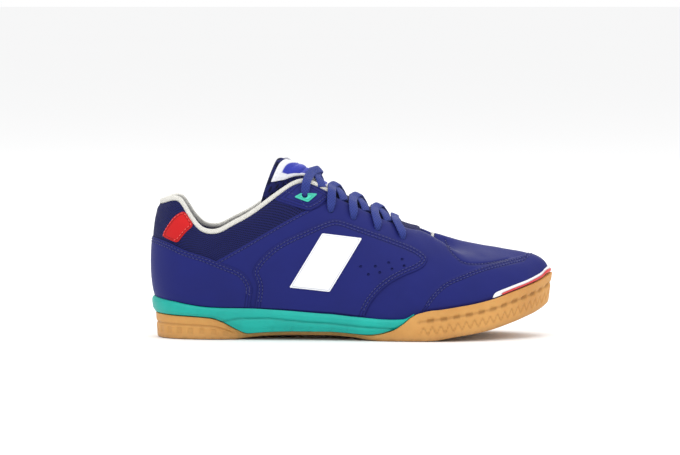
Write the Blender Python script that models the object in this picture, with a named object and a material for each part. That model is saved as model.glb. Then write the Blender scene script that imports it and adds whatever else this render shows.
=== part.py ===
"""Indoor soccer shoe for the right foot: +X to the toe, +Y to the inner side, +Z up, in metres.

Every piece is a loft round the last. A turn is an angle round the shoe: 0 at the toe tip, a quarter
turn on the outer side, half a turn at the back of the heel, three quarters on the inner side.
"""
import math

import bpy
import bmesh
import numpy as np
from mathutils import Vector

# Driving sizes
LENGTH = 0.290
BALL_WIDTH = 0.100
COLLAR_HEIGHT = 0.100
SOLE_HEIGHT = 0.030
TOE_SPRING = 0.030
WALL = 0.0022
COLLAR_PAD = 0.0030
INSOLE = 0.0035
TONGUE_PAD = 0.0048
GAP = 0.0004
TONGUE_GAP = 0.0005
SEAT_GAP = 0.0008

# Sole details
LIP = 0.0030
BED_TUCK = 0.0016
GUM_WALL = 0.0035
GUM_FLOOR = 0.0045
EDGE_ROUND = 0.0012
GROOVE_DEPTH = 0.0008
MIDSOLE_BULGE = 0.0022
MIDSOLE_FRONT = 0.652
MIDSOLE_LINING = 0.0012
FLEX_GROOVE_WIDTH = 0.0025
FLEX_GROOVE_DEPTH = 0.0016
FLEX_GROOVES = (0.60, 0.66, 0.72)

# The spine that insets aim at, as shares of the length
SPINE_BACK = 0.12
SPINE_FRONT = 0.84

# Where the gum cup's floor and wall rise to meet the footbed, as shares of the length
CUP_RISE = 0.52
WALL_RISE_BACK = 0.55
WALL_RISE_FRONT = 0.60
CUP_FLOOR_SHARE = 0.85

# Trim details
COLLAR_BINDING = 0.0036
THROAT_BINDING = 0.0020
BINDING_RISE = 0.0003
OVERLAY_GAP = 0.0005
OVERLAY = 0.0009
TOP_OVERLAY = 0.0007
LABEL_GAP = 0.0007
OVERLAY_FOOT = 0.02
EYELET_RADIUS = 0.0022
EYELET_DEPTH = 0.0060
LACE_WIDTH = 0.0064
LACE_THICKNESS = 0.0026
LACE_SPAN = 0.62
TUCK_ROWS = 3
LABEL_BACK = 0.300
LABEL_FRONT = 0.470
LABEL_SHARE = 1.5

# Mesh density
STATIONS = 60
END_STEP = 0.025
CLOSE_STATION = 0.03
SKIN_ROWS = 10
BEAD_SIDES = 6
EYELET_SIDES = 8
LACE_STEPS = 9
BED_COLUMNS = 1

# Colours, as linear red, green, blue
GUM = (0.62, 0.36, 0.13)
TEAL = (0.015, 0.48, 0.40)
NAVY = (0.028, 0.034, 0.22)
MESH_NAVY = (0.014, 0.017, 0.10)
LACE_BLUE = (0.04, 0.06, 0.22)
WHITE = (0.88, 0.88, 0.88)
RED = (0.72, 0.03, 0.03)
LABEL_BLUE = (0.01, 0.02, 0.40)

# The sole's widest line: along the length, outer and inner half width as shares of the ball width
OUTLINE = (
    # along, outer, inner
    (0.000, 0.000, 0.000),
    (0.020, 0.178, 0.178),
    (0.050, 0.262, 0.258),
    (0.100, 0.322, 0.318),
    (0.150, 0.346, 0.340),
    (0.250, 0.362, 0.338),
    (0.350, 0.378, 0.318),
    (0.450, 0.412, 0.312),
    (0.550, 0.466, 0.362),
    (0.620, 0.500, 0.432),
    (0.700, 0.515, 0.495),
    (0.750, 0.508, 0.514),
    (0.800, 0.474, 0.508),
    (0.850, 0.412, 0.478),
    (0.900, 0.318, 0.416),
    (0.950, 0.182, 0.312),
    (0.980, 0.066, 0.212),
    (1.000, -0.070, 0.070),
)

# Heights of the sole's edge: lift is the underside as a share of the toe spring; gum, lip and bed
# stand above the underside as shares of the sole height; gum_in and base_in are insets in lips
SOLE_EDGE = (
    # along, lift, gum, lip, bed, gum_in, base_in
    (0.000, 0.000, 0.590, 0.985, 0.680, 0.90, 1.30),
    (0.050, 0.000, 0.555, 0.900, 0.650, 0.90, 1.10),
    (0.100, 0.000, 0.535, 0.820, 0.630, 0.90, 1.10),
    (0.150, 0.000, 0.500, 0.768, 0.610, 0.90, 1.10),
    (0.180, 0.000, 0.400, 0.758, 0.600, 1.20, 1.40),
    (0.210, 0.005, 0.240, 0.750, 0.585, 1.80, 2.10),
    (0.245, 0.040, 0.090, 0.710, 0.540, 2.70, 3.00),
    (0.280, 0.070, 0.085, 0.665, 0.480, 3.10, 3.40),
    (0.360, 0.095, 0.085, 0.590, 0.400, 3.10, 3.40),
    (0.440, 0.095, 0.085, 0.535, 0.350, 3.10, 3.40),
    (0.500, 0.060, 0.085, 0.515, 0.345, 2.80, 3.10),
    (0.540, 0.015, 0.110, 0.528, 0.350, 1.40, 1.90),
    (0.570, 0.000, 0.160, 0.520, 0.345, 0.60, 1.20),
    (0.600, 0.000, 0.260, 0.515, 0.330, 0.35, 0.90),
    (0.625, 0.000, 0.420, 0.530, 0.320, 0.20, 0.80),
    (0.645, 0.000, 0.585, 0.610, 0.310, 0.10, 0.80),
    (0.665, 0.000, 0.670, 0.675, 0.300, 0.00, 0.80),
    (0.700, 0.015, 0.725, 0.725, 0.305, 0.00, 0.80),
    (0.750, 0.095, 0.710, 0.710, 0.300, 0.00, 0.80),
    (0.800, 0.170, 0.715, 0.715, 0.290, 0.00, 0.80),
    (0.850, 0.270, 0.725, 0.725, 0.280, 0.00, 0.80),
    (0.900, 0.400, 0.750, 0.750, 0.280, 0.00, 0.80),
    (0.950, 0.550, 0.750, 0.750, 0.280, 0.00, 0.90),
    (1.000, 0.800, 0.730, 0.730, 0.230, 0.00, 1.00),
)

# The upper, outer side: from the feather line at 'along' to the opening's edge. edge_along is a share
# of the length, edge_side of the ball width, edge_rise of the collar height. The section's two handles
# are shares of the collar height: low one out and up, high one forward, out and down from the edge
UPPER_OUTER = (
    # along, edge_along, edge_side, edge_rise, low_out, low_up, high_fore, high_out, high_down
    (0.000, 0.0200, 0.000, 0.960, 0.045, 0.120, -0.065, 0.000, 0.230),
    (0.015, 0.0245, 0.080, 0.962, 0.045, 0.120, -0.055, 0.030, 0.230),
    (0.040, 0.0400, 0.150, 0.976, 0.045, 0.130, -0.035, 0.050, 0.230),
    (0.065, 0.0570, 0.190, 0.988, 0.044, 0.140, -0.020, 0.075, 0.230),
    (0.085, 0.0720, 0.212, 0.977, 0.043, 0.150, -0.010, 0.085, 0.230),
    (0.105, 0.0850, 0.230, 0.930, 0.042, 0.160, 0.000, 0.085, 0.220),
    (0.125, 0.0990, 0.252, 0.862, 0.041, 0.160, 0.000, 0.080, 0.210),
    (0.145, 0.1180, 0.276, 0.792, 0.040, 0.160, 0.000, 0.070, 0.200),
    (0.175, 0.1450, 0.298, 0.755, 0.036, 0.150, 0.000, 0.058, 0.190),
    (0.205, 0.1720, 0.304, 0.764, 0.032, 0.150, 0.000, 0.058, 0.190),
    (0.235, 0.2020, 0.300, 0.811, 0.030, 0.160, 0.000, 0.070, 0.200),
    (0.265, 0.2370, 0.284, 0.865, 0.030, 0.180, 0.000, 0.090, 0.220),
    (0.300, 0.2800, 0.256, 0.950, 0.028, 0.205, 0.000, 0.110, 0.230),
    (0.335, 0.3270, 0.212, 1.047, 0.027, 0.225, 0.000, 0.130, 0.230),
    (0.365, 0.3600, 0.184, 1.100, 0.026, 0.240, 0.000, 0.145, 0.225),
    (0.395, 0.3840, 0.170, 1.108, 0.025, 0.250, 0.000, 0.155, 0.215),
    (0.430, 0.4090, 0.160, 1.084, 0.022, 0.260, 0.010, 0.160, 0.190),
    (0.480, 0.4510, 0.153, 1.022, 0.020, 0.260, 0.030, 0.165, 0.165),
    (0.550, 0.5140, 0.150, 0.938, 0.020, 0.245, 0.055, 0.170, 0.135),
    (0.620, 0.5710, 0.146, 0.859, 0.020, 0.225, 0.080, 0.170, 0.105),
    (0.690, 0.6330, 0.138, 0.793, 0.020, 0.205, 0.100, 0.165, 0.075),
    (0.740, 0.6560, 0.133, 0.778, 0.020, 0.195, 0.125, 0.155, 0.060),
    (0.785, 0.6710, 0.130, 0.767, 0.019, 0.190, 0.155, 0.145, 0.050),
    (0.820, 0.6830, 0.130, 0.735, 0.018, 0.190, 0.180, 0.130, 0.035),
    (0.850, 0.6870, 0.130, 0.690, 0.016, 0.190, 0.215, 0.110, 0.020),
    (0.880, 0.6920, 0.115, 0.658, 0.014, 0.190, 0.260, 0.095, 0.010),
    (0.920, 0.6990, 0.080, 0.675, 0.011, 0.190, 0.330, 0.065, 0.050),
    (0.960, 0.7040, 0.040, 0.722, 0.008, 0.193, 0.380, 0.035, 0.120),
    (1.000, 0.7055, 0.000, 0.746, 0.005, 0.195, 0.400, 0.000, 0.150),
)

# The inner side, with the same columns
UPPER_INNER = (
    (0.015, 0.0245, 0.080, 0.962, 0.045, 0.120, -0.055, 0.030, 0.230),
    (0.040, 0.0400, 0.150, 0.976, 0.045, 0.130, -0.035, 0.050, 0.230),
    (0.065, 0.0570, 0.190, 0.988, 0.044, 0.140, -0.020, 0.075, 0.230),
    (0.085, 0.0720, 0.212, 0.977, 0.043, 0.150, -0.010, 0.085, 0.230),
    (0.105, 0.0850, 0.230, 0.932, 0.043, 0.160, 0.000, 0.085, 0.220),
    (0.125, 0.0990, 0.252, 0.866, 0.043, 0.160, 0.000, 0.080, 0.210),
    (0.145, 0.1180, 0.276, 0.800, 0.044, 0.160, 0.000, 0.070, 0.200),
    (0.175, 0.1450, 0.298, 0.765, 0.048, 0.160, 0.000, 0.058, 0.190),
    (0.205, 0.1720, 0.304, 0.774, 0.050, 0.170, 0.000, 0.058, 0.190),
    (0.235, 0.2020, 0.300, 0.819, 0.053, 0.180, 0.000, 0.070, 0.200),
    (0.265, 0.2370, 0.284, 0.871, 0.056, 0.190, 0.000, 0.090, 0.220),
    (0.300, 0.2800, 0.256, 0.954, 0.058, 0.210, 0.000, 0.110, 0.230),
    (0.335, 0.3270, 0.212, 1.049, 0.060, 0.230, 0.000, 0.130, 0.230),
    (0.365, 0.3600, 0.184, 1.101, 0.060, 0.240, 0.000, 0.145, 0.225),
    (0.395, 0.3840, 0.170, 1.109, 0.060, 0.250, 0.000, 0.155, 0.215),
    (0.430, 0.4090, 0.160, 1.085, 0.058, 0.260, 0.010, 0.160, 0.190),
    (0.480, 0.4510, 0.153, 1.023, 0.054, 0.260, 0.030, 0.165, 0.165),
    (0.550, 0.5140, 0.150, 0.939, 0.046, 0.245, 0.055, 0.170, 0.135),
    (0.620, 0.5710, 0.146, 0.860, 0.036, 0.225, 0.080, 0.172, 0.105),
    (0.690, 0.6330, 0.138, 0.794, 0.028, 0.205, 0.100, 0.170, 0.075),
    (0.740, 0.6560, 0.133, 0.779, 0.024, 0.195, 0.125, 0.165, 0.060),
    (0.785, 0.6710, 0.130, 0.768, 0.021, 0.190, 0.155, 0.155, 0.050),
    (0.820, 0.6830, 0.130, 0.736, 0.018, 0.190, 0.180, 0.140, 0.035),
    (0.850, 0.6870, 0.130, 0.691, 0.016, 0.190, 0.215, 0.125, 0.020),
    (0.880, 0.6920, 0.115, 0.659, 0.014, 0.190, 0.260, 0.110, 0.010),
    (0.920, 0.6990, 0.080, 0.675, 0.011, 0.190, 0.330, 0.075, 0.050),
    (0.960, 0.7040, 0.040, 0.722, 0.008, 0.193, 0.380, 0.040, 0.120),
)

# The tongue between the two edges: two handles a side, from the edge, as shares of the collar height
TONGUE_SECTIONS = (
    # along, low_fore, low_in, low_up, high_fore, high_in, high_up, crown_fore, crown_up
    (0.296, 0.000, 0.030, 0.052, 0.120, 0.035, 0.345, 0.225, 0.325),
    (0.330, 0.000, 0.031, 0.050, 0.060, 0.052, 0.190, 0.130, 0.210),
    (0.365, 0.000, 0.034, 0.048, 0.030, 0.080, 0.100, 0.065, 0.120),
    (0.395, 0.000, 0.036, 0.046, 0.020, 0.085, 0.075, 0.040, 0.090),
    (0.430, 0.000, 0.040, 0.042, 0.000, 0.090, 0.064, 0.010, 0.075),
    (0.480, 0.000, 0.040, 0.040, 0.000, 0.090, 0.060, 0.000, 0.070),
    (0.620, 0.000, 0.040, 0.038, 0.000, 0.090, 0.058, 0.000, 0.067),
    (0.690, 0.000, 0.040, 0.032, 0.000, 0.088, 0.050, 0.000, 0.057),
    (0.785, -0.005, 0.036, 0.024, -0.005, 0.080, 0.042, 0.000, 0.050),
    (0.820, -0.020, 0.030, 0.002, -0.020, 0.074, 0.014, -0.015, 0.020),
    (0.850, -0.025, 0.028, -0.018, -0.025, 0.070, -0.020, -0.025, -0.020),
    (0.880, -0.025, 0.022, -0.024, -0.025, 0.056, -0.028, -0.025, -0.028),
    (0.957, -0.016, 0.010, -0.018, -0.016, 0.020, -0.022, -0.016, -0.022),
)

# Eyelets: where the feather line stands under each hole, and its level up the upper's section
EYELETS = (
    # along, level
    (0.390, 0.880),
    (0.468, 0.820),
    (0.527, 0.830),
    (0.593, 0.805),
    (0.657, 0.780),
)

# How far each lace stands off: its middle at the eyelet and over the opening's edge, its underside
# on the tongue
LACE_OVER = (
    # eyelet, edge, tongue
    (0.0044, 0.0050, 0.0030),
    (0.0024, 0.0042, 0.0010),
    (0.0024, 0.0028, 0.0010),
    (0.0024, 0.0028, 0.0010),
    (0.0024, 0.0028, 0.0010),
)

# Side view outlines of the panels, as shares of the length and of the collar height
SIDE_PANEL = (
    # along, rise
    (0.250, 0.494),
    (0.274, 0.593),
    (0.318, 0.700),
    (0.369, 0.766),
    (0.437, 0.852),
    (0.464, 0.864),
    (0.518, 0.806),
    (0.604, 0.719),
    (0.654, 0.663),
    (0.683, 0.607),
    (0.685, 0.573),
    (0.671, 0.517),
    (0.619, 0.462),
    (0.578, 0.389),
    (0.546, 0.289),
    (0.527, 0.177),
    (0.520, 0.080),
    (0.262, 0.080),
    (0.258, 0.238),
    (0.267, 0.362),
    (0.262, 0.425),
)
SIDE_BADGE = (
    # along, rise
    (0.344, 0.378),
    (0.443, 0.349),
    (0.523, 0.729),
    (0.425, 0.764),
)
HEEL_PANEL = (
    # along, rise
    (0.083, 0.924),
    (0.059, 0.885),
    (0.041, 0.816),
    (0.026, 0.735),
    (0.066, 0.690),
    (0.076, 0.728),
    (0.090, 0.777),
    (0.108, 0.818),
)
HEEL_COUNTER = (
    # along, rise
    (-0.030, 0.740),
    (0.004, 0.726),
    (0.045, 0.695),
    (0.084, 0.639),
    (0.133, 0.601),
    (0.181, 0.543),
    (0.228, 0.494),
    (0.247, 0.419),
    (0.253, 0.362),
    (0.245, 0.238),
    (0.244, 0.080),
    (-0.030, 0.080),
)
EYELET_TAB = (
    # along, rise
    (0.304, 1.000),
    (0.340, 1.080),
    (0.365, 1.140),
    (0.385, 1.140),
    (0.449, 1.045),
    (0.441, 1.010),
    (0.418, 0.958),
    (0.391, 0.923),
)
EYELET_PATCH = (
    # along, rise
    (0.355, 1.021),
    (0.375, 1.052),
    (0.414, 1.042),
    (0.390, 0.984),
)

# The toe's guard and its stripe: heights above the sole's lip as shares of the sole height
TOE_GUARD = (
    # along, low, high
    (0.845, -0.300, 0.040),
    (0.850, -0.300, 0.125),
    (0.857, -0.300, 0.150),
    (0.898, -0.300, 0.150),
    (0.937, -0.300, 0.150),
    (0.972, -0.300, 0.170),
    (0.984, -0.300, 0.235),
    (1.030, -0.300, 0.270),
)
TOE_STRIPE = (
    # along, low, high
    (0.869, 0.026, 0.078),
    (0.898, 0.026, 0.082),
    (0.937, 0.026, 0.086),
    (0.972, 0.040, 0.110),
    (0.984, 0.080, 0.165),
    (1.030, 0.105, 0.205),
)



def clear_scene():
    """Remove every object, so that only the shoe is left."""
    for thing in list(bpy.data.objects):
        bpy.data.objects.remove(thing, do_unlink=True)


def turn_of(along, outer=True):
    """The turn at which the feather line has gone this share of the length."""
    angle = math.acos(max(-1.0, min(1.0, 2.0 * along - 1.0)))
    return angle if outer else 2.0 * math.pi - angle


def fair(knots, values, turns):
    """A smooth closed curve through the values at the knots, read at the turns."""
    order = np.argsort(knots)
    x = np.asarray(knots, float)[order]
    y = np.asarray(values, float)[order]
    count = len(x)
    span = np.diff(np.append(x, x[0] + 2 * math.pi))
    rise = np.diff(np.append(y, y[0])) / span
    system = np.zeros((count, count))
    right = np.zeros(count)
    for i in range(count):
        before = span[i - 1]
        after = span[i]
        system[i, i - 1] = after
        system[i, i] = 2 * (before + after)
        system[i, (i + 1) % count] = before
        right[i] = 3 * (after * rise[i - 1] + before * rise[i])
    slope = np.linalg.solve(system, right)
    return hermite(x, y, slope, span, turns)


def steady(knots, values, turns):
    """A closed curve through the values that never overshoots them, read at the turns."""
    order = np.argsort(knots)
    x = np.asarray(knots, float)[order]
    y = np.asarray(values, float)[order]
    span = np.diff(np.append(x, x[0] + 2 * math.pi))
    rise = np.diff(np.append(y, y[0])) / span
    before = np.roll(rise, 1)
    weight_a = 2 * span + np.roll(span, 1)
    weight_b = span + 2 * np.roll(span, 1)
    same = before * rise > 0
    safe_before = np.where(same, before, 1.0)
    safe_rise = np.where(same, rise, 1.0)
    mean = (weight_a + weight_b) / (weight_a / safe_before + weight_b / safe_rise)
    return hermite(x, y, np.where(same, mean, 0.0), span, turns)


def hermite(x, y, slope, span, turns):
    """Cubic pieces between the knots of a closed curve."""
    turns = np.mod(np.asarray(turns, float) - x[0], 2 * math.pi) + x[0]
    low = np.clip(np.searchsorted(x, turns, side="right") - 1, 0, len(x) - 1)
    high = (low + 1) % len(x)
    t = (turns - x[low]) / span[low]
    return (
        y[low] * (1 + 2 * t) * (1 - t) ** 2
        + slope[low] * span[low] * t * (1 - t) ** 2
        + y[high] * t * t * (3 - 2 * t)
        + slope[high] * span[low] * t * t * (t - 1)
    )


def both_sides(table, column, turns, curve):
    """Read one column of a table that holds for both sides of the shoe."""
    knots = []
    values = []
    for row in table:
        for outer in (True, False):
            if outer or 0.0 < row[0] < 1.0:
                knots.append(turn_of(row[0], outer))
                values.append(row[column])
    return curve(knots, values, turns)


def outline(turns):
    """The sole's widest line, as x and y."""
    knots = []
    values = []
    for along, outer, inner in OUTLINE:
        knots.append(turn_of(along))
        values.append(-outer * BALL_WIDTH)
        if 0.0 < along < 1.0:
            knots.append(turn_of(along, outer=False))
            values.append(inner * BALL_WIDTH)
    x = LENGTH * np.cos(turns) / 2
    return x, fair(knots, values, turns)


def ring(turns, inset, height):
    """A ring inside the sole's widest line, moved in by inset, at the given height."""
    x, y = outline(turns)
    back = (SPINE_BACK - 0.5) * LENGTH
    front = (SPINE_FRONT - 0.5) * LENGTH
    aim_x = np.clip(x, back, front) - x
    aim_y = -y
    length = np.hypot(aim_x, aim_y)
    return np.stack([x + aim_x / length * inset, y + aim_y / length * inset, height + 0 * x], axis=-1)


def edge(name, turns):
    """One of the sole's edge heights or insets, in metres, at the turns."""
    columns = {"lift": 1, "gum": 2, "lip": 3, "bed": 4, "gum_in": 5, "base_in": 6}
    shares = both_sides(SOLE_EDGE, columns[name], turns, steady)
    if name == "lift":
        return shares * TOE_SPRING
    if name in ("gum_in", "base_in"):
        return shares * LIP
    return edge("lift", turns) + shares * SOLE_HEIGHT


def upper_column(column, turns):
    """Read one column of the upper's two tables."""
    knots = []
    values = []
    for row in UPPER_OUTER:
        knots.append(turn_of(row[0]))
        values.append(-row[column] if column in (2, 7) else row[column])
    for row in UPPER_INNER:
        knots.append(turn_of(row[0], outer=False))
        values.append(row[column])
    return fair(knots, values, turns)


def skin(turns, level):
    """A point on the upper's outer face: level 0 at the sole's lip, 1 at the opening's edge."""
    low = ring(turns, LIP + GAP, edge("lip", turns))
    outward = ring(turns, 0.0, 0.0) - ring(turns, LIP, 0.0)
    outward = outward / np.linalg.norm(outward, axis=-1, keepdims=True)
    up = np.array([0.0, 0.0, 1.0])
    top = np.stack(
        [
            (upper_column(1, turns) - 0.5) * LENGTH,
            upper_column(2, turns) * BALL_WIDTH,
            upper_column(3, turns) * COLLAR_HEIGHT,
        ],
        axis=-1,
    )
    low_handle = (
        low
        + outward * (upper_column(4, turns) * COLLAR_HEIGHT)[..., None]
        + up * (upper_column(5, turns) * COLLAR_HEIGHT)[..., None]
    )
    high_handle = top + np.stack(
        [
            upper_column(6, turns) * COLLAR_HEIGHT,
            upper_column(7, turns) * COLLAR_HEIGHT,
            -upper_column(8, turns) * COLLAR_HEIGHT,
        ],
        axis=-1,
    )
    t = np.asarray(level, float)[..., None]
    return (
        low * (1 - t) ** 3
        + low_handle * 3 * t * (1 - t) ** 2
        + high_handle * 3 * t * t * (1 - t)
        + top * t ** 3
    )


def skin_normal(turns, level):
    """The direction out of the upper's outer face."""
    step = 0.004
    level = np.asarray(level, float) + 0 * np.asarray(turns)
    high = np.minimum(level + step, 1.0)
    low = np.maximum(level - step, 0.0)
    round_it = skin(turns + step, level) - skin(turns - step, level)
    up_it = skin(turns, high) - skin(turns, low)
    normal = np.cross(round_it, up_it)
    normal = normal / np.linalg.norm(normal, axis=-1, keepdims=True)
    return -normal


def offset_skin(turns, level, distance):
    """A point off the upper's outer face, outwards for a positive distance."""
    distance = np.asarray(distance, float) + 0 * np.asarray(turns)
    return skin(turns, level) + skin_normal(turns, level) * distance[..., None]


def wall_at(turns, level):
    """The upper's wall, padded round the collar."""
    along = (1 + np.cos(turns)) / 2
    collar = np.clip((0.40 - along) / 0.12, 0.0, 1.0)
    collar = collar * collar * (3 - 2 * collar)
    high = np.clip((level - 0.45) / 0.25, 0.0, 1.0)
    rounded = np.clip((1.0 - level) / 0.12, 0.35, 1.0)
    return WALL + COLLAR_PAD * collar * high * rounded


def material(name, colour, roughness, metallic=0.0):
    """A plain Principled material."""
    made = bpy.data.materials.new(name)
    made.use_nodes = True
    shader = made.node_tree.nodes["Principled BSDF"]
    shader.inputs["Base Color"].default_value = (*colour, 1.0)
    shader.inputs["Roughness"].default_value = roughness
    shader.inputs["Metallic"].default_value = metallic
    return made


def halved(faces):
    """The faces with each four-sided one split the same way, so that neighbouring pieces run parallel."""
    split = []
    for face in faces:
        if len(face) == 4:
            split.append((face[0], face[1], face[2]))
            split.append((face[0], face[2], face[3]))
        else:
            split.append(face)
    return split


def solid(name, points, faces, colour, roughness):
    """One closed piece from its points and faces, facing outwards."""
    mesh = bpy.data.meshes.new(name)
    mesh.from_pydata([tuple(map(float, p)) for p in points], [], halved(faces))
    shape = bmesh.new()
    shape.from_mesh(mesh)
    bmesh.ops.recalc_face_normals(shape, faces=shape.faces)
    if shape.calc_volume(signed=True) < 0:
        bmesh.ops.reverse_faces(shape, faces=shape.faces)
    shape.to_mesh(mesh)
    shape.free()
    mesh.shade_smooth()
    mesh.set_sharp_from_angle(angle=math.radians(40))
    made = bpy.data.objects.new(name, mesh)
    made.data.materials.append(material(name, colour, roughness))
    bpy.context.collection.objects.link(made)
    return made


def ring_faces(first, second, count):
    """Faces between two closed rings that start at these indices."""
    return [
        (first + i, first + (i + 1) % count, second + (i + 1) % count, second + i)
        for i in range(count)
    ]


def bed_faces(points, start, count, columns):
    """Close a ring across the shoe with columns of points between each outer and inner pair."""
    half = count // 2
    shares = np.linspace(0.0, 1.0, columns + 2)[1:-1]
    rows = [[start] * (columns + 2)]
    for i in range(1, half):
        outer = np.asarray(points[start + i])
        inner = np.asarray(points[start + count - i])
        row = [start + i]
        for share in shares:
            points.append(outer + (inner - outer) * share)
            row.append(len(points) - 1)
        row.append(start + count - i)
        rows.append(row)
    rows.append([start + half] * (columns + 2))
    return grid_faces(rows)


def grid_faces(rows):
    """Faces between rows of indices, where a row may shrink to one point."""
    faces = []
    for low, high in zip(rows[:-1], rows[1:]):
        for k in range(len(low) - 1):
            corners = []
            for index in (low[k], low[k + 1], high[k + 1], high[k]):
                if index not in corners:
                    corners.append(index)
            if len(corners) > 2:
                faces.append(tuple(corners))
    return faces


def turns_all():
    """The stations round the shoe, with two at each end of the midsole."""
    even = np.arange(STATIONS) * 2 * math.pi / STATIONS
    ends = []
    for along in (MIDSOLE_FRONT, MIDSOLE_FRONT - END_STEP):
        ends += [turn_of(along), turn_of(along, outer=False)]
    ends = np.array(ends)
    nearest = np.abs(even[:, None] - ends[None, :]).min(axis=1)
    return np.sort(np.append(even[nearest > CLOSE_STATION], ends))


def loft(name, rings, colour, roughness, columns=BED_COLUMNS):
    """A piece from rings stacked from its underside out, up and in, both ends closed across."""
    count = len(rings[0])
    points = [p for one in rings for p in one]
    faces = []
    for k in range(len(rings) - 1):
        faces += ring_faces(k * count, (k + 1) * count, count)
    faces += bed_faces(points, 0, count, columns)
    faces += bed_faces(points, (len(rings) - 1) * count, count, columns)
    return solid(name, points, faces, colour, roughness)


def along_of(turns):
    """The share of the length that the feather line has reached at the turns."""
    return (1 + np.cos(turns)) / 2


def ramp(values, start, end):
    """A soft step from 0 at start to 1 at end."""
    share = np.clip((values - start) / (end - start), 0.0, 1.0)
    return share * share * (3 - 2 * share)


def under_midsole(turns):
    """True where the midsole lies in the gum cup."""
    return along_of(turns) < MIDSOLE_FRONT + 0.001


def cup_floor(turns):
    """The top of the gum inside its wall: thin under the midsole, the footbed where that has ended."""
    lift = edge("lift", turns)
    bed = edge("bed", turns)
    thin = lift + np.minimum(GUM_FLOOR, (edge("gum", turns) - lift) * CUP_FLOOR_SHARE)
    share = ramp(along_of(turns), CUP_RISE, MIDSOLE_FRONT)
    lined = thin * (1 - share) + (bed - MIDSOLE_LINING - GAP) * share
    return np.where(under_midsole(turns), lined, bed)


def cup_wall(turns):
    """The inset of the gum wall's inner face at its top, and how far it leans in at the floor."""
    side = edge("gum_in", turns)
    share = ramp(along_of(turns), WALL_RISE_BACK, WALL_RISE_FRONT)
    lined = (side + GUM_WALL) * (1 - share) + (LIP - MIDSOLE_LINING - GAP) * share
    inset = np.where(under_midsole(turns), lined, LIP)
    return inset, BED_TUCK * share


def make_outsole():
    """Gum rubber: heel cup, waist and forefoot cup, with the groove round its side."""
    turns = turns_all()
    under = edge("lift", turns)
    top = edge("gum", turns)
    base = edge("base_in", turns)
    side = edge("gum_in", turns)
    wall, tuck = cup_wall(turns)
    tall = top - under
    corner = np.minimum(EDGE_ROUND, tall * 0.25)
    rings = [
        ring(turns, base + EDGE_ROUND, under),
        ring(turns, base, under + corner),
    ]
    for share, depth in ((0.50, 0.0), (0.545, 1.0), (0.60, 1.0), (0.645, 0.0)):
        lean = base + (side - base) * share
        rings.append(ring(turns, lean + GROOVE_DEPTH * depth, under + tall * share))
    rings.append(ring(turns, side, top))
    rings.append(ring(turns, wall, top))
    rings.append(ring(turns, wall + tuck, cup_floor(turns)))
    outsole = loft("outsole", rings, GUM, 0.55)
    cut_flex_grooves(outsole)
    return outsole


def cut_flex_grooves(outsole):
    """Grooves across the forefoot's underside."""
    for number, along in enumerate(FLEX_GROOVES):
        bpy.ops.mesh.primitive_cube_add(size=1.0, location=((along - 0.5) * LENGTH, 0.0, 0.0))
        cutter = bpy.context.object
        cutter.name = f"groove_cutter_{number}"
        cutter.scale = (FLEX_GROOVE_WIDTH, BALL_WIDTH * 2, FLEX_GROOVE_DEPTH * 2)
        cutter.hide_render = True
        cutter.display_type = "WIRE"
        cut = outsole.modifiers.new(cutter.name, "BOOLEAN")
        cut.operation = "DIFFERENCE"
        cut.object = cutter


def make_midsole():
    """Teal foam: its lip stands on the gum's edge round the heel and the waist."""
    turns = turns_all()
    turns = turns[under_midsole(turns)]
    wall, tuck = cup_wall(turns)
    seat = edge("gum", turns) + SEAT_GAP
    lip = np.maximum(edge("lip", turns), seat + GAP)
    floor = cup_floor(turns) + GAP
    bed = np.maximum(edge("bed", turns), floor + GAP)
    bulge = MIDSOLE_BULGE * np.clip((lip - seat) / (SOLE_HEIGHT / 4), 0.0, 1.0)
    rings = [
        ring(turns, wall + tuck + SEAT_GAP, floor),
        ring(turns, wall + SEAT_GAP, np.maximum(seat, floor + GAP / 2)),
        ring(turns, bulge, seat),
        ring(turns, bulge * 0.25, seat + (lip - seat) * 0.25),
        ring(turns, 0.0 * turns, seat + (lip - seat) * 0.60),
        ring(turns, LIP * 0.22 + 0 * turns, lip - (lip - seat) * 0.06),
        ring(turns, LIP * 0.45 + 0 * turns, lip),
        ring(turns, LIP + 0 * turns, lip),
        ring(turns, LIP + BED_TUCK + 0 * turns, bed),
    ]
    count = len(turns)
    points = [p for one in rings for p in one]
    faces = []
    for k in range(len(rings) - 1):
        for i in range(count - 1):
            a = k * count + i
            faces.append((a, a + 1, a + 1 + count, a + count))
    middle = count // 2
    shares = np.linspace(0.0, 1.0, BED_COLUMNS + 2)[1:-1]
    ends = []
    for k in (0, len(rings) - 1):
        rows = []
        for i in range(middle):
            a = k * count + i
            b = k * count + count - 1 - i
            row = [a]
            for share in shares:
                points.append(points[a] + (points[b] - points[a]) * share)
                row.append(len(points) - 1)
            row.append(b)
            rows.append(row)
        ends.append(rows[0])
        rows.append([k * count + middle] * (BED_COLUMNS + 2))
        faces += grid_faces(rows)
    outer_end = [k * count for k in range(len(rings))]
    inner_end = [k * count + count - 1 for k in range(len(rings))]
    faces.append(tuple(ends[0][::-1] + outer_end[1:-1] + ends[1] + inner_end[-2:0:-1]))
    return solid("midsole", points, faces, TEAL, 0.5)


def make_insole():
    """The sock lining, inside the upper and on the footbed."""
    turns = turns_all()
    bed = edge("bed", turns) + GAP
    inset = LIP + BED_TUCK + GAP + WALL + GAP
    rings = [
        ring(turns, inset + 0.0006, bed + GAP),
        ring(turns, inset, bed + INSOLE * 0.5),
        ring(turns, inset + 0.0006, bed + INSOLE),
    ]
    return loft("insole", rings, MESH_NAVY, 0.8)


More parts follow.
